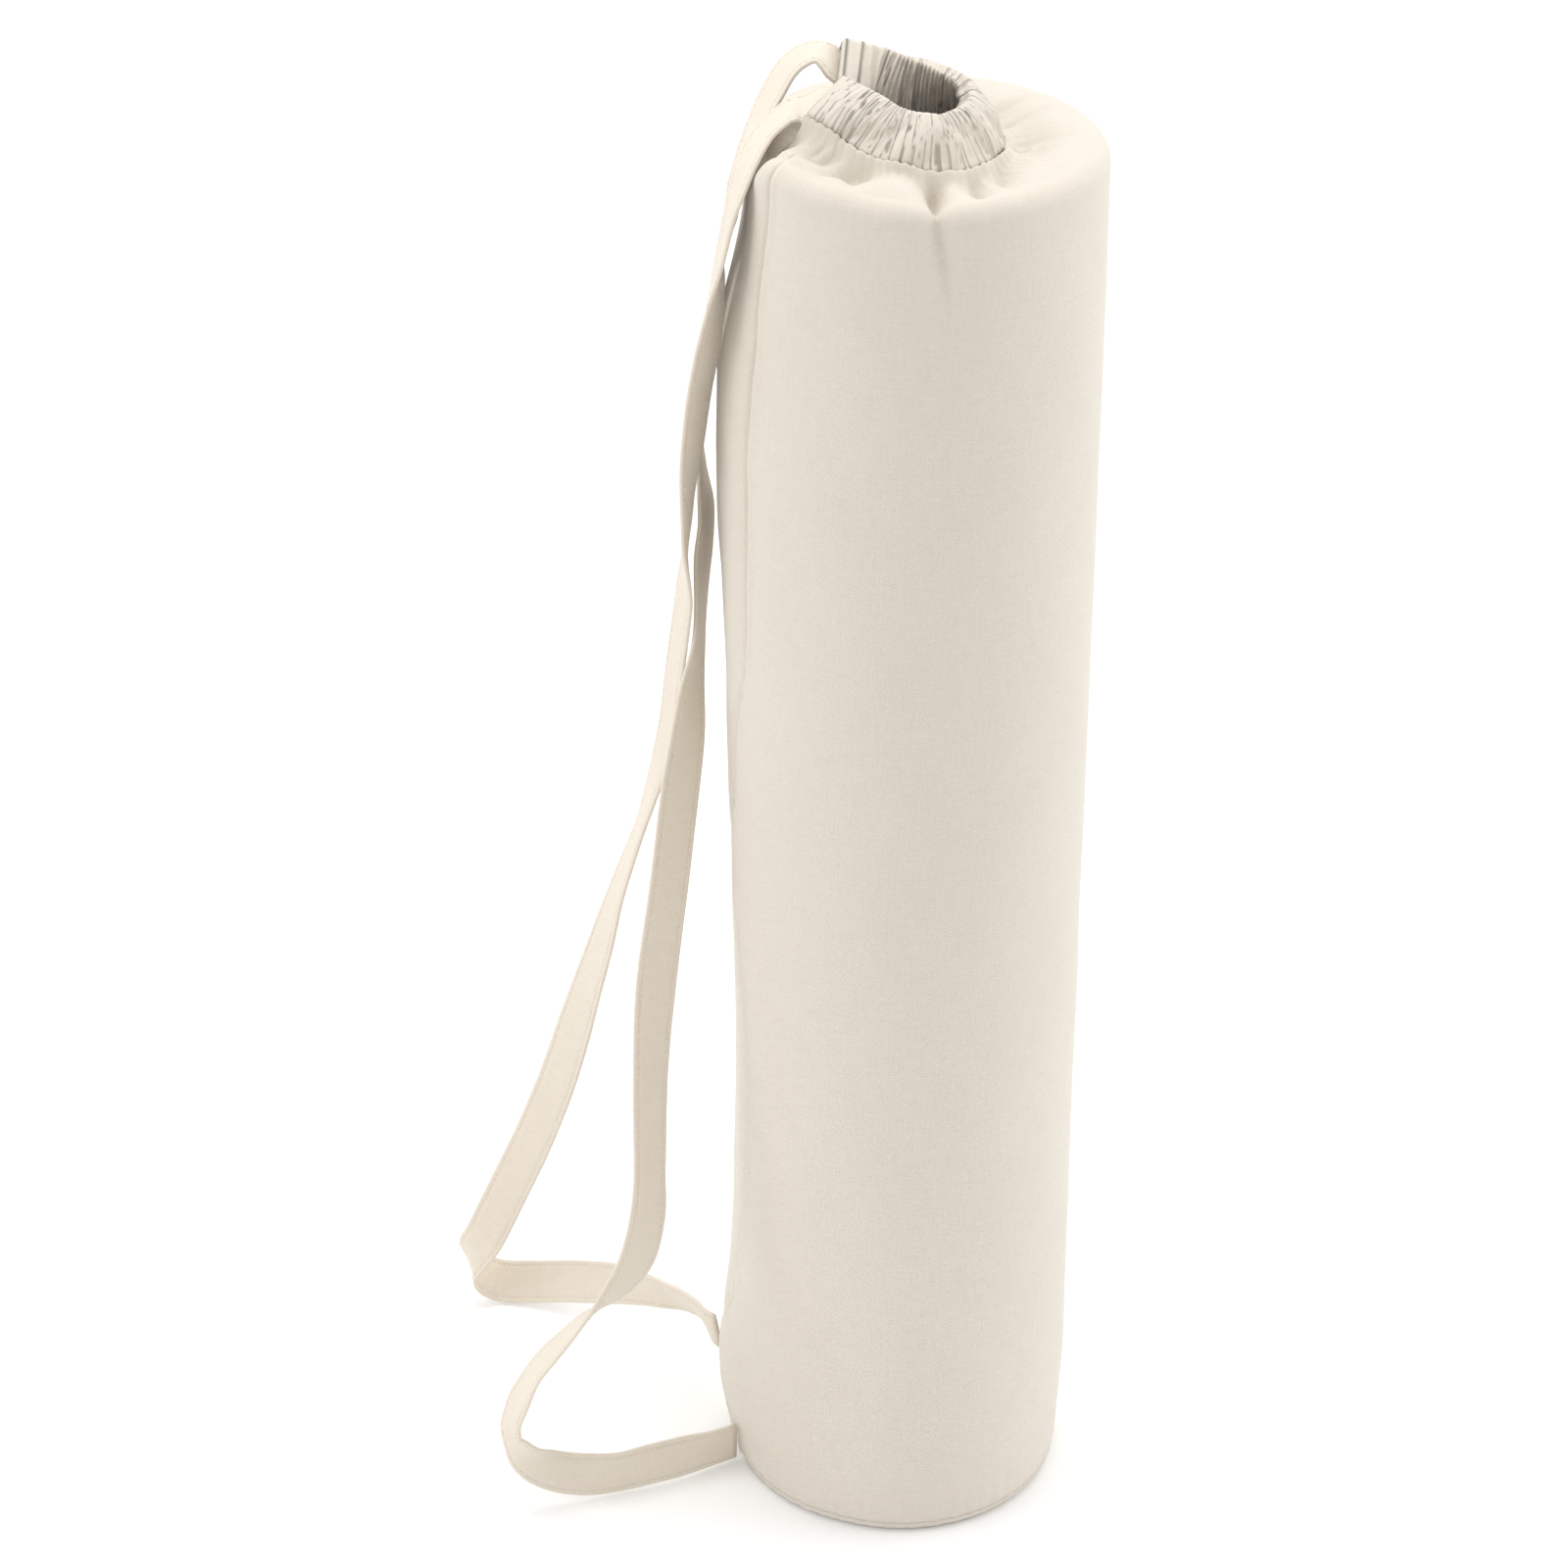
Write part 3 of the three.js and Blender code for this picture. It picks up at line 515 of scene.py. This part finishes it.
def strap_stitching():
    shares, _ = even_steps(strap_points, int(strap_length / STITCH_PITCH))
    middle, way, width, face = strap_frame(shares)
    bm = bmesh.new()
    for number in range(2, len(shares) - 2):
        turned = Matrix([way[number], width[number], face[number]]).transposed().to_4x4()
        for side in (-1, 1):
            for front in (-1, 1):
                spot = middle[number] + width[number] * side * (HALF - STITCH_IN)
                spot = spot + face[number] * front * STITCH_OUT
                grow = Matrix.Diagonal((STITCH_LONG * MM, STITCH_THICK * MM, STITCH_THICK * MM, 1))
                place = Matrix.Translation(Vector(spot * MM)) @ turned @ grow
                bmesh.ops.create_icosphere(bm, subdivisions=1, radius=1, matrix=place)
    mesh = bpy.data.meshes.new("strap_stitches")
    bm.to_mesh(mesh)
    bm.free()
    return show("strap_stitches", mesh)


strap_stitches = strap_stitching()

# %% [markdown]
# ## Creases of the gathered top
#
# Every crease starts in the channel, crosses the gathered top and ends at the shoulder or a
# little below it. Down counts from -1 at the channel's top edge over 0 at the neck to 1 at the
# shoulder; past that, every 0.1 is a centimetre down the side. A crease is a bearing and a depth
# in millimetres at each down, and a width in degrees.

# %% Creases
CREASES = {
    "main pleat": (3.6, [
        (-0.73, 272, 2), (-0.47, 265, 4), (-0.1, 260, 7), (0.2, 257, 9), (0.6, 254.5, 9),
        (1, 252.5, 6.6), (1.18, 255, 4.4), (1.32, 256, 2.2), (1.46, 257, 0)]),
    "second": (4.5, [
        (-0.77, 280, 1.2), (-0.53, 286, 3), (-0.23, 282, 4.4), (0, 279, 5.4), (0.5, 274, 5.8),
        (0.85, 270, 3.4), (1.02, 268, 0)]),
    "third": (5, [
        (-0.7, 294, 1.2), (-0.37, 294, 3), (0, 298, 4), (0.4, 290, 4), (0.86, 282, 1.6),
        (1, 280, 0)]),
    "slit": (4.5, [
        (-0.7, 316, 1), (-0.27, 322, 4), (-0.07, 321, 6), (0.12, 332, 5.4), (0.35, 336, 0)]),
    "right": (8, [
        (-0.57, 344, 0.8), (0, 343, 2.2), (0.34, 340, 2.6), (0.7, 338, 0.8), (1, 338, 0)]),
    "dimple": (6, [(0.15, 326, 0), (0.4, 324, 1.6), (0.7, 322, 0)]),
    "left": (4.6, [
        (-0.8, 244, 0.8), (-0.47, 232, 2), (-0.07, 226, 3.4), (0.4, 222, 4.6), (0.82, 222, 2.2),
        (1, 222, 0)]),
    "left lower": (4.2, [
        (-0.73, 236, 0.6), (-0.4, 227, 2), (0, 222, 3), (0.5, 214, 4.4), (0.78, 210, 2.4),
        (1, 208, 0)]),
    "left end": (7, [
        (-0.53, 220, 1), (-0.17, 212, 3), (0.1, 204, 5), (0.5, 199, 4.6), (0.85, 196, 0)]),
}
PLAIN_CREASES = 13
PLAIN_START = 2
PLAIN_END = 128
PLAIN_WIDTH = 4.4
LOBE_RISE = 2.6


def all_creases():
    found = list(CREASES.values())
    for number in range(PLAIN_CREASES):
        bearing = mix(PLAIN_START, PLAIN_END, (number + 0.5) / PLAIN_CREASES)
        lean = 2.5 * math.sin(2.3 * number)
        deep = 3 + math.sin(1.9 * number)
        found.append((PLAIN_WIDTH, [
            (-0.6, bearing, 0.4), (0, bearing, 0.7 * deep), (0.35, bearing + lean, deep),
            (0.85, bearing + 2 * lean, 0.8), (1.02, bearing + 2 * lean, 0)]))
    return found


ALL_CREASES = all_creases()


def crease_depth(bearing, down):
    depth = 0 * bearing
    for width, rows in ALL_CREASES:
        table = [(at, where) for at, where, _ in rows]
        deep = [(at, much) for at, _, much in rows]
        spread = width * mix(1.25, 1, np.clip(down, 0, 1))
        depth = depth + along(deep, down) * crest(apart(bearing, along(table, down)), spread)
    return depth


def gathers(bearing, pitch, slant=0, seed=0.0):
    """Fine folds side by side: round crests with sharp valleys, from 0 down to -1."""
    uneven = 0.35 * np.sin(bearing / 9.7 + seed) + 0.2 * np.sin(bearing / 4.1 + 2 * seed)
    at = (bearing + slant) / pitch + uneven
    return np.abs(np.sin(math.pi * at)) - 1


print("creases:", len(ALL_CREASES))

# %% [markdown]
# ## The body
#
# The tube of cloth is one closed skin: up the side, round the shoulder, in over the gathered top
# to the neck, and back down the inside. The outside carries the seam, the dents and the creases;
# the inside is plain.

# %% Body
WALL_ROWS = 70
SHOULDER_ROWS = 9
TOP_ROWS = 60
INNER_TOP_ROWS = 14
INNER_WALL_ROWS = 26
COLUMNS = 460
CROWD = 20
FLUSH = 4
SNUG = 1.1
BLEND = 0.16
STRIP_HIGH = 1
GROOVE = 3
SEAM_SOFT = 1.17
SWELL = 2.2
GATHER_PITCH = 5.5
PUCKER = 0.35


def column_bearing(column):
    """Columns stand closer together by the side seam."""
    turn = column / COLUMNS
    return 360 * turn + CROWD * np.sin(2 * math.pi * turn)


def side_radius(bearing, up):
    """The outside of the wall, with the seam's narrow valley and the raised strip beside it."""
    seam = apart(bearing, between(SEAM, up))
    radius = plain_wall(bearing, up)
    sharp = mix(0.7, 1, smooth((up - 0.6) / 0.2))
    radius = radius - SEAM_SOFT * bell(seam + 1.5, SEAM_WIDTH)
    radius = radius - GROOVE * sharp * crest(seam, 0.9, 0.15) + STRIP_HIGH * bell(seam - 3.4, 1.7)
    radius = radius + SWELL * bell(apart(bearing, 158), 9) * bell(up - 0.915, 0.05)
    foot = bell(up, 0.022)
    radius = radius + PUCKER * foot * gathers(bearing, GATHER_PITCH, seed=1.0)
    pull = bell(seam, 14) * np.sin(2 * math.pi * (up * 21 + seam / 40))
    calm = smooth(up / 0.08) * smooth((1 - up) / 0.06)
    soft = ripple(bearing / 150, up * 2.2, 0.4) + 0.5 * ripple(bearing / 60, up * 5, 1.9)
    return radius + calm * (0.55 * soft + 0.16 * pull)


def shoulder_height(bearing):
    return BODY_HEIGHT + SHOULDER_RISE * between(SHOULDER, bearing % 360)


def round_point(bearing, radius, height):
    angle = np.radians(bearing)
    return np.stack([radius * np.cos(angle), radius * np.sin(angle), height], 1)


def wall_point(bearing, up, inside):
    foot = BOTTOM_TUCK * (1 - smooth(up / 0.006))
    drop = (1 - up) * (BODY_HEIGHT - WALL_BOTTOM) / 100
    radius = np.where(inside > 0, wall_radius(bearing, up), side_radius(bearing, up))
    radius = radius - foot - crease_depth(bearing, 1 + drop) - inside * CLOTH
    top = shoulder_height(bearing) - SHOULDER_ROUND
    return round_point(bearing, radius, mix(WALL_BOTTOM, top, up))


def shoulder_point(bearing, turn, inside):
    full = 1 + 0 * bearing
    reach = SHOULDER_ROUND - crease_depth(bearing, full) - inside * CLOTH
    wall = np.where(inside > 0, wall_radius(bearing, full), side_radius(bearing, full))
    radius = wall - SHOULDER_ROUND + reach * np.cos(turn)
    height = shoulder_height(bearing) - SHOULDER_ROUND + reach * np.sin(turn)
    return round_point(bearing, radius, height)


def top_point(bearing, outward, inside):
    shoulder = shoulder_point(bearing, math.pi / 2 + 0 * bearing, 0 * bearing)
    shoulder[:, 2] += crease_depth(bearing, 1 + 0 * bearing)
    edge, across = neck_frame(bearing)
    point = mix(edge, shoulder, outward[:, None])
    swell = LOBE_RISE * np.sin(math.pi * np.clip(outward, 0, 1) ** 1.2)
    fine = 0.7 * gathers(bearing, GATHER_PITCH, 6 * outward, 0.7) * (1 - outward) ** 1.5
    sag = LIP_SAG * smooth(outward / 0.1) * (1 - outward)
    crease = crease_depth(bearing, outward)
    blend = smooth(outward / BLEND)
    deeper = 1 + 0.5 * np.sin(math.pi * outward)
    point[:, 2] += swell + fine - sag - crease * blend * deeper + LIP_LIFT * (1 - blend)
    shift = FLUSH * (1 - smooth(outward / 0.4)) - np.minimum(crease, CREASE_MOST) * (1 - blend)
    point += across * shift[:, None]
    lip = 1 - smooth(outward / 0.12)
    point += across * (lip * CLOTH * (0.5 - inside))[:, None]
    point[:, 2] -= (1 - lip) * inside * CLOTH
    return point


def body_rows():
    """The kind of each row, 0 wall, 1 shoulder, 2 top, with its share and inside or outside."""
    ups = np.linspace(0, 1, WALL_ROWS)
    ups = np.concatenate([[0, 0.003], ups[1:-12], np.linspace(ups[-12], 1, 24)])
    turns = (np.arange(SHOULDER_ROWS) + 1) / (SHOULDER_ROWS + 1) * math.pi / 2
    tops = np.linspace(1, 0, TOP_ROWS)
    outer = [(0, up, 0) for up in ups] + [(1, turn, 0) for turn in turns]
    outer += [(2, top, 0) for top in tops]
    tops = np.linspace(0, 1, INNER_TOP_ROWS)
    ups = np.concatenate([np.linspace(1, 0.9, 8), np.linspace(0.88, 0, INNER_WALL_ROWS)])
    inner = [(2, top, 1) for top in tops] + [(1, turn, 1) for turn in turns[::-3]]
    inner += [(0, up, 1) for up in ups]
    return np.array(outer + inner)


def body_place(row, column):
    rows = body_rows()
    kind, share, inside = rows[row].T
    bearing = column_bearing(column)
    points = np.where((kind == 0)[:, None], wall_point(bearing, share, inside), 0)
    points = np.where((kind == 1)[:, None], shoulder_point(bearing, share, inside), points)
    points = np.where((kind == 2)[:, None], top_point(bearing, share, inside), points)
    height = BODY_HEIGHT - WALL_BOTTOM
    above = np.where(kind == 1, 9 * share, 14 + 45 * (1 - share))
    run = np.where(kind == 0, share * height, height + above)
    return points, np.radians(bearing) * BODY_RADIUS, run


body_cloth = ring_of_cloth("body_cloth", len(body_rows()), COLUMNS, body_place)

# %% [markdown]
# ## The base
#
# A round of thicker cloth lies flat on the floor, and its edge turns up to meet the wall at the
# base seam.

# %% Base
def base_stations():
    corner = BASE_TURN_UP
    turns = np.linspace(0, math.pi / 2, 7)
    outer = [(-corner + corner * math.sin(t), corner - corner * math.cos(t)) for t in turns]
    small = corner - BASE_CLOTH
    inner = [(-corner + small * math.sin(t), corner - small * math.cos(t)) for t in turns[::-1]]
    rim = [(-0.5, BASE_TURN_UP + 0.15), (-BASE_CLOTH + 0.5, BASE_TURN_UP + 0.15)]
    return outer + rim + inner


def base_place(row, column):
    stations = base_stations()
    inside = [(0.5, BASE_CLOTH), (0, BASE_CLOTH), (0, 0), (0.5, 0)]
    bearing = column_bearing(column)
    rim = wall_radius(bearing, 0 * bearing) - BOTTOM_TUCK
    rim = rim + PUCKER * gathers(bearing, GATHER_PITCH, seed=1.0)
    shape = np.array(stations + inside)[row]
    in_middle = row >= len(stations)
    radius = np.where(in_middle, shape[:, 0] * rim, rim + shape[:, 0])
    points = round_point(bearing, radius, shape[:, 1])
    return points, np.radians(bearing) * BODY_RADIUS, shape[:, 0] + shape[:, 1]


def round_base():
    base = ring_of_cloth("base_cloth", len(base_stations()) + 4, COLUMNS, base_place)
    bm = bmesh.new()
    bm.from_mesh(base.data)
    bmesh.ops.remove_doubles(bm, verts=bm.verts[:], dist=1e-6)
    bmesh.ops.recalc_face_normals(bm, faces=bm.faces[:])
    bm.to_mesh(base.data)
    bm.free()
    return base


base_cloth = round_base()

# %% [markdown]
# ## The channel
#
# A flat tube of folded cloth, open at both ends. Its outer face carries on the creases of the
# gathered top, and its inner face stands in fine upright folds. The skin runs along the outside
# and comes back on the inside, where the strap lies.

# %% Channel
CHANNEL_STEPS = 420
SECTION = 64
ROUND = 2.2
FINE_PITCH = 3.6
REAR_PITCH = 5.2
REAR_DEEP = 2.4
END_REACH = 5
END_FLARE = 1.6


def section_point(share, depth, height, corner):
    """A point of a rounded flat section, by its share of the way round from the outer middle."""
    straight_up, straight_in = height / 2 - corner, depth / 2 - corner
    arc = corner * math.pi / 2
    side, flat = 2 * straight_up, 2 * straight_in
    stops = np.cumsum([0, straight_up, arc, flat, arc, side, arc, flat, arc, straight_up])
    at = share * stops[-1]
    leg = np.clip(np.searchsorted(stops, at, side="right") - 1, 0, 8)
    part = at - stops[leg]
    turn = part / corner
    right, top = depth / 2, height / 2
    table = [
        (right + 0 * part, part),
        (straight_in + corner * np.cos(turn), straight_up + corner * np.sin(turn)),
        (straight_in - part, top + 0 * part),
        (-straight_in - corner * np.sin(turn), straight_up + corner * np.cos(turn)),
        (-right + 0 * part, straight_up - part),
        (-straight_in - corner * np.cos(turn), -straight_up - corner * np.sin(turn)),
        (-straight_in + part, -top + 0 * part),
        (straight_in + corner * np.sin(turn), -straight_up - corner * np.cos(turn)),
        (right + 0 * part, -straight_up + part),
    ]
    out = np.choose(leg, [x for x, _ in table])
    up = np.choose(leg, [y for _, y in table])
    return out, up


def channel_place(row, column):
    outer = row <= CHANNEL_STEPS
    step = np.where(outer, row, 2 * CHANNEL_STEPS + 1 - row)
    share = step / CHANNEL_STEPS
    bearing = mix(REAR_END, FRONT_END, share)
    centre, upward, across = channel_frame(bearing)
    start = channel_frame(np.array([REAR_END, REAR_END - 3], float))[0]
    reach = END_REACH * np.clip(1 - share / 0.04, 0, 1)
    centre = centre + unit(start[0] - start[1]) * reach[:, None]
    flare = END_FLARE * bell(np.minimum(share, 1 - share), 0.05)
    turn = column / SECTION
    out, up = section_point(turn, CHANNEL_DEPTH, CHANNEL_HEIGHT, ROUND)
    thin, tall = section_point(turn, CHANNEL_ROOM, CHANNEL_INSIDE, ROUND - CHANNEL_CLOTH)
    ends = smooth(np.minimum(share, 1 - share) * 18)
    down = -np.clip((up + CHANNEL_HEIGHT / 2) / CHANNEL_HEIGHT, 0, 1)
    face = np.clip(out / (CHANNEL_DEPTH / 2), -1, 1)
    crease = np.minimum(crease_depth(bearing, down), CREASE_MOST)
    left = bell(apart(bearing, 206), 26)
    fine = 0.75 * left * gathers(bearing, FINE_PITCH, 6 * down, 0.3)
    fine = fine + 0.35 * (1 - left) * gathers(bearing, 7, 4 * down, 1.3)
    front = LOBE_RISE * (1 - (2 * down + 1) ** 2) - crease + fine
    front = np.maximum(front, -1.8)
    rear = 0.6 - REAR_DEEP * (1 + gathers(bearing, REAR_PITCH, 2.4 * np.sin(3 * down + 0.6), 2.1))
    push = ends * np.where(face > 0, front * face, rear * face) + flare * face
    rim = smooth(1 - np.abs(face)) * np.sign(up)
    lift = ends * rim * (0.6 * gathers(bearing, REAR_PITCH, 0, 2.1) - 0.25 * np.minimum(crease, 3))
    room = SNUG + 2.5 * bell(np.minimum(share, 1 - share), 0.03)
    out = np.where(outer, out + push, np.clip(thin * (1 + flare / 4), -room, room))
    up = np.where(outer, up + lift, tall)
    points = centre + across * out[:, None] + upward * up[:, None]
    across_cloth = (1 - turn) * 2 * (CHANNEL_HEIGHT + CHANNEL_DEPTH)
    return points, across_cloth, np.radians(REAR_END - bearing) * BODY_RADIUS


channel_cloth = ring_of_cloth("channel_cloth", 2 * CHANNEL_STEPS + 2, SECTION, channel_place)

# %% [markdown]
# ## Cloth
#
# A small class wraps a socket, so that a material reads like a sum. The canvas is a plain weave:
# threads that go over and under each other, thicker here and there, with a soft change of tone.

# %% Materials
class Wire:
    """A value on its way through a material."""

    def __init__(self, paint, socket):
        self.paint = paint
        self.socket = socket

    def do(self, operation, *others):
        sockets = {number: other for number, other in enumerate((self,) + others)}
        return self.paint.node("ShaderNodeMath", {"operation": operation}, sockets)

    def __add__(self, other):
        return self.do("ADD", other)

    def __radd__(self, other):
        return self.do("ADD", other)

    def __sub__(self, other):
        return self.do("SUBTRACT", other)

    def __rsub__(self, other):
        return self.paint.node("ShaderNodeMath", {"operation": "SUBTRACT"}, {0: other, 1: self})

    def __mul__(self, other):
        return self.do("MULTIPLY", other)

    def __rmul__(self, other):
        return self.do("MULTIPLY", other)

    def __truediv__(self, other):
        return self.do("DIVIDE", other)

    def wave(self):
        return self.do("SINE")


class Paint:
    """One material and its nodes."""

    def __init__(self, name):
        self.material = bpy.data.materials.new(name)
        self.material.use_nodes = True
        self.tree = self.material.node_tree
        self.tree.nodes.clear()

    def node(self, kind, settings, sockets, output=0):
        made = self.tree.nodes.new(kind)
        for key, value in settings.items():
            setattr(made, key, value)
        for key, value in sockets.items():
            if isinstance(value, Wire):
                self.tree.links.new(value.socket, made.inputs[key])
            else:
                made.inputs[key].default_value = value
        return Wire(self, made.outputs[output])


def noise(paint, dimensions, place, scale, detail):
    sockets = {"Vector": place, "Scale": scale, "Detail": detail}
    return paint.node("ShaderNodeTexNoise", {"noise_dimensions": dimensions}, sockets)


def drawn_out(paint, place, stretch):
    return paint.node("ShaderNodeVectorMath", {"operation": "MULTIPLY"}, {0: place, 1: stretch})


def finish_paint(paint, shader):
    made = paint.tree.nodes.new("ShaderNodeOutputMaterial")
    paint.tree.links.new(shader.socket, made.inputs["Surface"])


def canvas(name, light, dark, pitch):
    """A plain weave of cotton. pitch is the distance from thread to thread, in millimetres."""
    paint = Paint(name)
    flat = paint.node("ShaderNodeUVMap", {"uv_map": "thread"}, {})
    split = paint.node("ShaderNodeSeparateXYZ", {}, {0: flat})
    across, up = split, Wire(paint, split.socket.node.outputs[1])
    turns = math.pi / (pitch * MM)
    weave = (across * turns).wave() * (up * turns).wave()
    place = paint.node("ShaderNodeTexCoord", {}, {}, "Object")
    slub = noise(paint, "3D", place, 420, 2)
    cloud = noise(paint, "3D", place, 14, 3)
    upright = noise(paint, "2D", drawn_out(paint, flat, (1400, 60, 1)), 1, 1)
    level = noise(paint, "2D", drawn_out(paint, flat, (60, 1400, 1)), 1, 1)
    tone = cloud * 0.2 + slub * 0.2 + upright * 0.3 + level * 0.3 + weave * 0.05 - 0.03
    ends = {"Factor": tone, 6: (*dark, 1), 7: (*light, 1)}
    colour = paint.node("ShaderNodeMix", {"data_type": "RGBA"}, ends, 2)
    height = weave * 0.4 + upright * 0.4 + level * 0.4 + slub * 0.3
    rough = {"Height": height, "Strength": 0.35, "Distance": 0.0004}
    bump = paint.node("ShaderNodeBump", {}, rough)
    look = {"Base Color": colour, "Roughness": 0.92, "Normal": bump, "Specular IOR Level": 0.2,
            "Sheen Weight": 0.35, "Sheen Roughness": 0.5}
    shader = paint.node("ShaderNodeBsdfPrincipled", {}, look)
    finish_paint(paint, shader)
    return paint.material


body_canvas = canvas("canvas", (0.73, 0.675, 0.597), (0.60, 0.545, 0.462), 0.8)
strap_canvas = canvas("strap_canvas", (0.78, 0.715, 0.62), (0.66, 0.58, 0.475), 0.7)


def thread_paint():
    paint = Paint("strap_thread")
    look = {"Base Color": (0.78, 0.72, 0.625, 1), "Roughness": 0.9, "Sheen Weight": 0.2}
    finish_paint(paint, paint.node("ShaderNodeBsdfPrincipled", {}, look))
    return paint.material


strap_thread = thread_paint()
for thing, look in (
    (body_cloth, body_canvas),
    (base_cloth, body_canvas),
    (channel_cloth, body_canvas),
    (strap_ribbon, strap_canvas),
    (strap_stitches, strap_thread),
):
    thing.data.materials.append(look)
print("materials:", len(bpy.data.materials))

# %% [markdown]
# ## Which piece stands for which part
#
# Each finished piece takes the place of one piece of the frame. The strap goes back into the bag
# at its far end, and its middle line is kept as a list of points in metres.

# %% Join the frame
for thing, node in (
    (body_cloth, "body"),
    (base_cloth, "base_panel"),
    (channel_cloth, "drawstring_channel"),
    (strap_ribbon, "strap"),
):
    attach(thing, "root")
    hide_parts(node)
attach(strap_stitches, "root")
strap_line = [tuple(float(value) for value in point) for point in strap_middle * MM]
print("strap path has", len(strap_line), "points")

# %% [markdown]
# ## Floor and light
#
# A pale floor runs far past the bag, and large soft lights stand to both sides and above it.

# %% Floor and light
def plain_floor():
    bm = bmesh.new()
    bmesh.ops.create_grid(bm, x_segments=1, y_segments=1, size=30)
    mesh = bpy.data.meshes.new("floor")
    bm.to_mesh(mesh)
    bm.free()
    floor = bpy.data.objects.new("floor", mesh)
    bpy.context.scene.collection.objects.link(floor)
    paint = Paint("floor")
    look = {"Base Color": (0.95, 0.95, 0.95, 1), "Roughness": 1, "Specular IOR Level": 0}
    finish_paint(paint, paint.node("ShaderNodeBsdfPrincipled", {}, look))
    mesh.materials.append(paint.material)
    return floor


def soft_light(name, place, target, wide, tall, power):
    light = bpy.data.lights.new(name, "AREA")
    light.shape = "RECTANGLE"
    light.size = wide
    light.size_y = tall
    light.energy = power
    thing = bpy.data.objects.new(name, light)
    thing.location = place
    thing.rotation_euler = (Vector(target) - Vector(place)).to_track_quat("-Z", "Y").to_euler()
    bpy.context.scene.collection.objects.link(thing)
    return thing


floor = plain_floor()
world = bpy.data.worlds.new("studio")
world.use_nodes = True
world.node_tree.nodes["Background"].inputs["Color"].default_value = (1, 1, 1, 1)
world.node_tree.nodes["Background"].inputs["Strength"].default_value = 0.85
bpy.context.scene.world = world
soft_light("top light", (0.1, 0.5, 2.4), (0, 0, 0.4), 2.4, 1.8, 26)
soft_light("left light", (-2.2, 0.4, 1.2), (0, 0, 0.35), 1.6, 1.8, 14)
soft_light("right light", (1.9, -0.5, 1.2), (0, 0, 0.35), 1.6, 1.8, 14)
bpy.context.scene.view_settings.view_transform = "Standard"
print("lights:", len(bpy.data.lights))
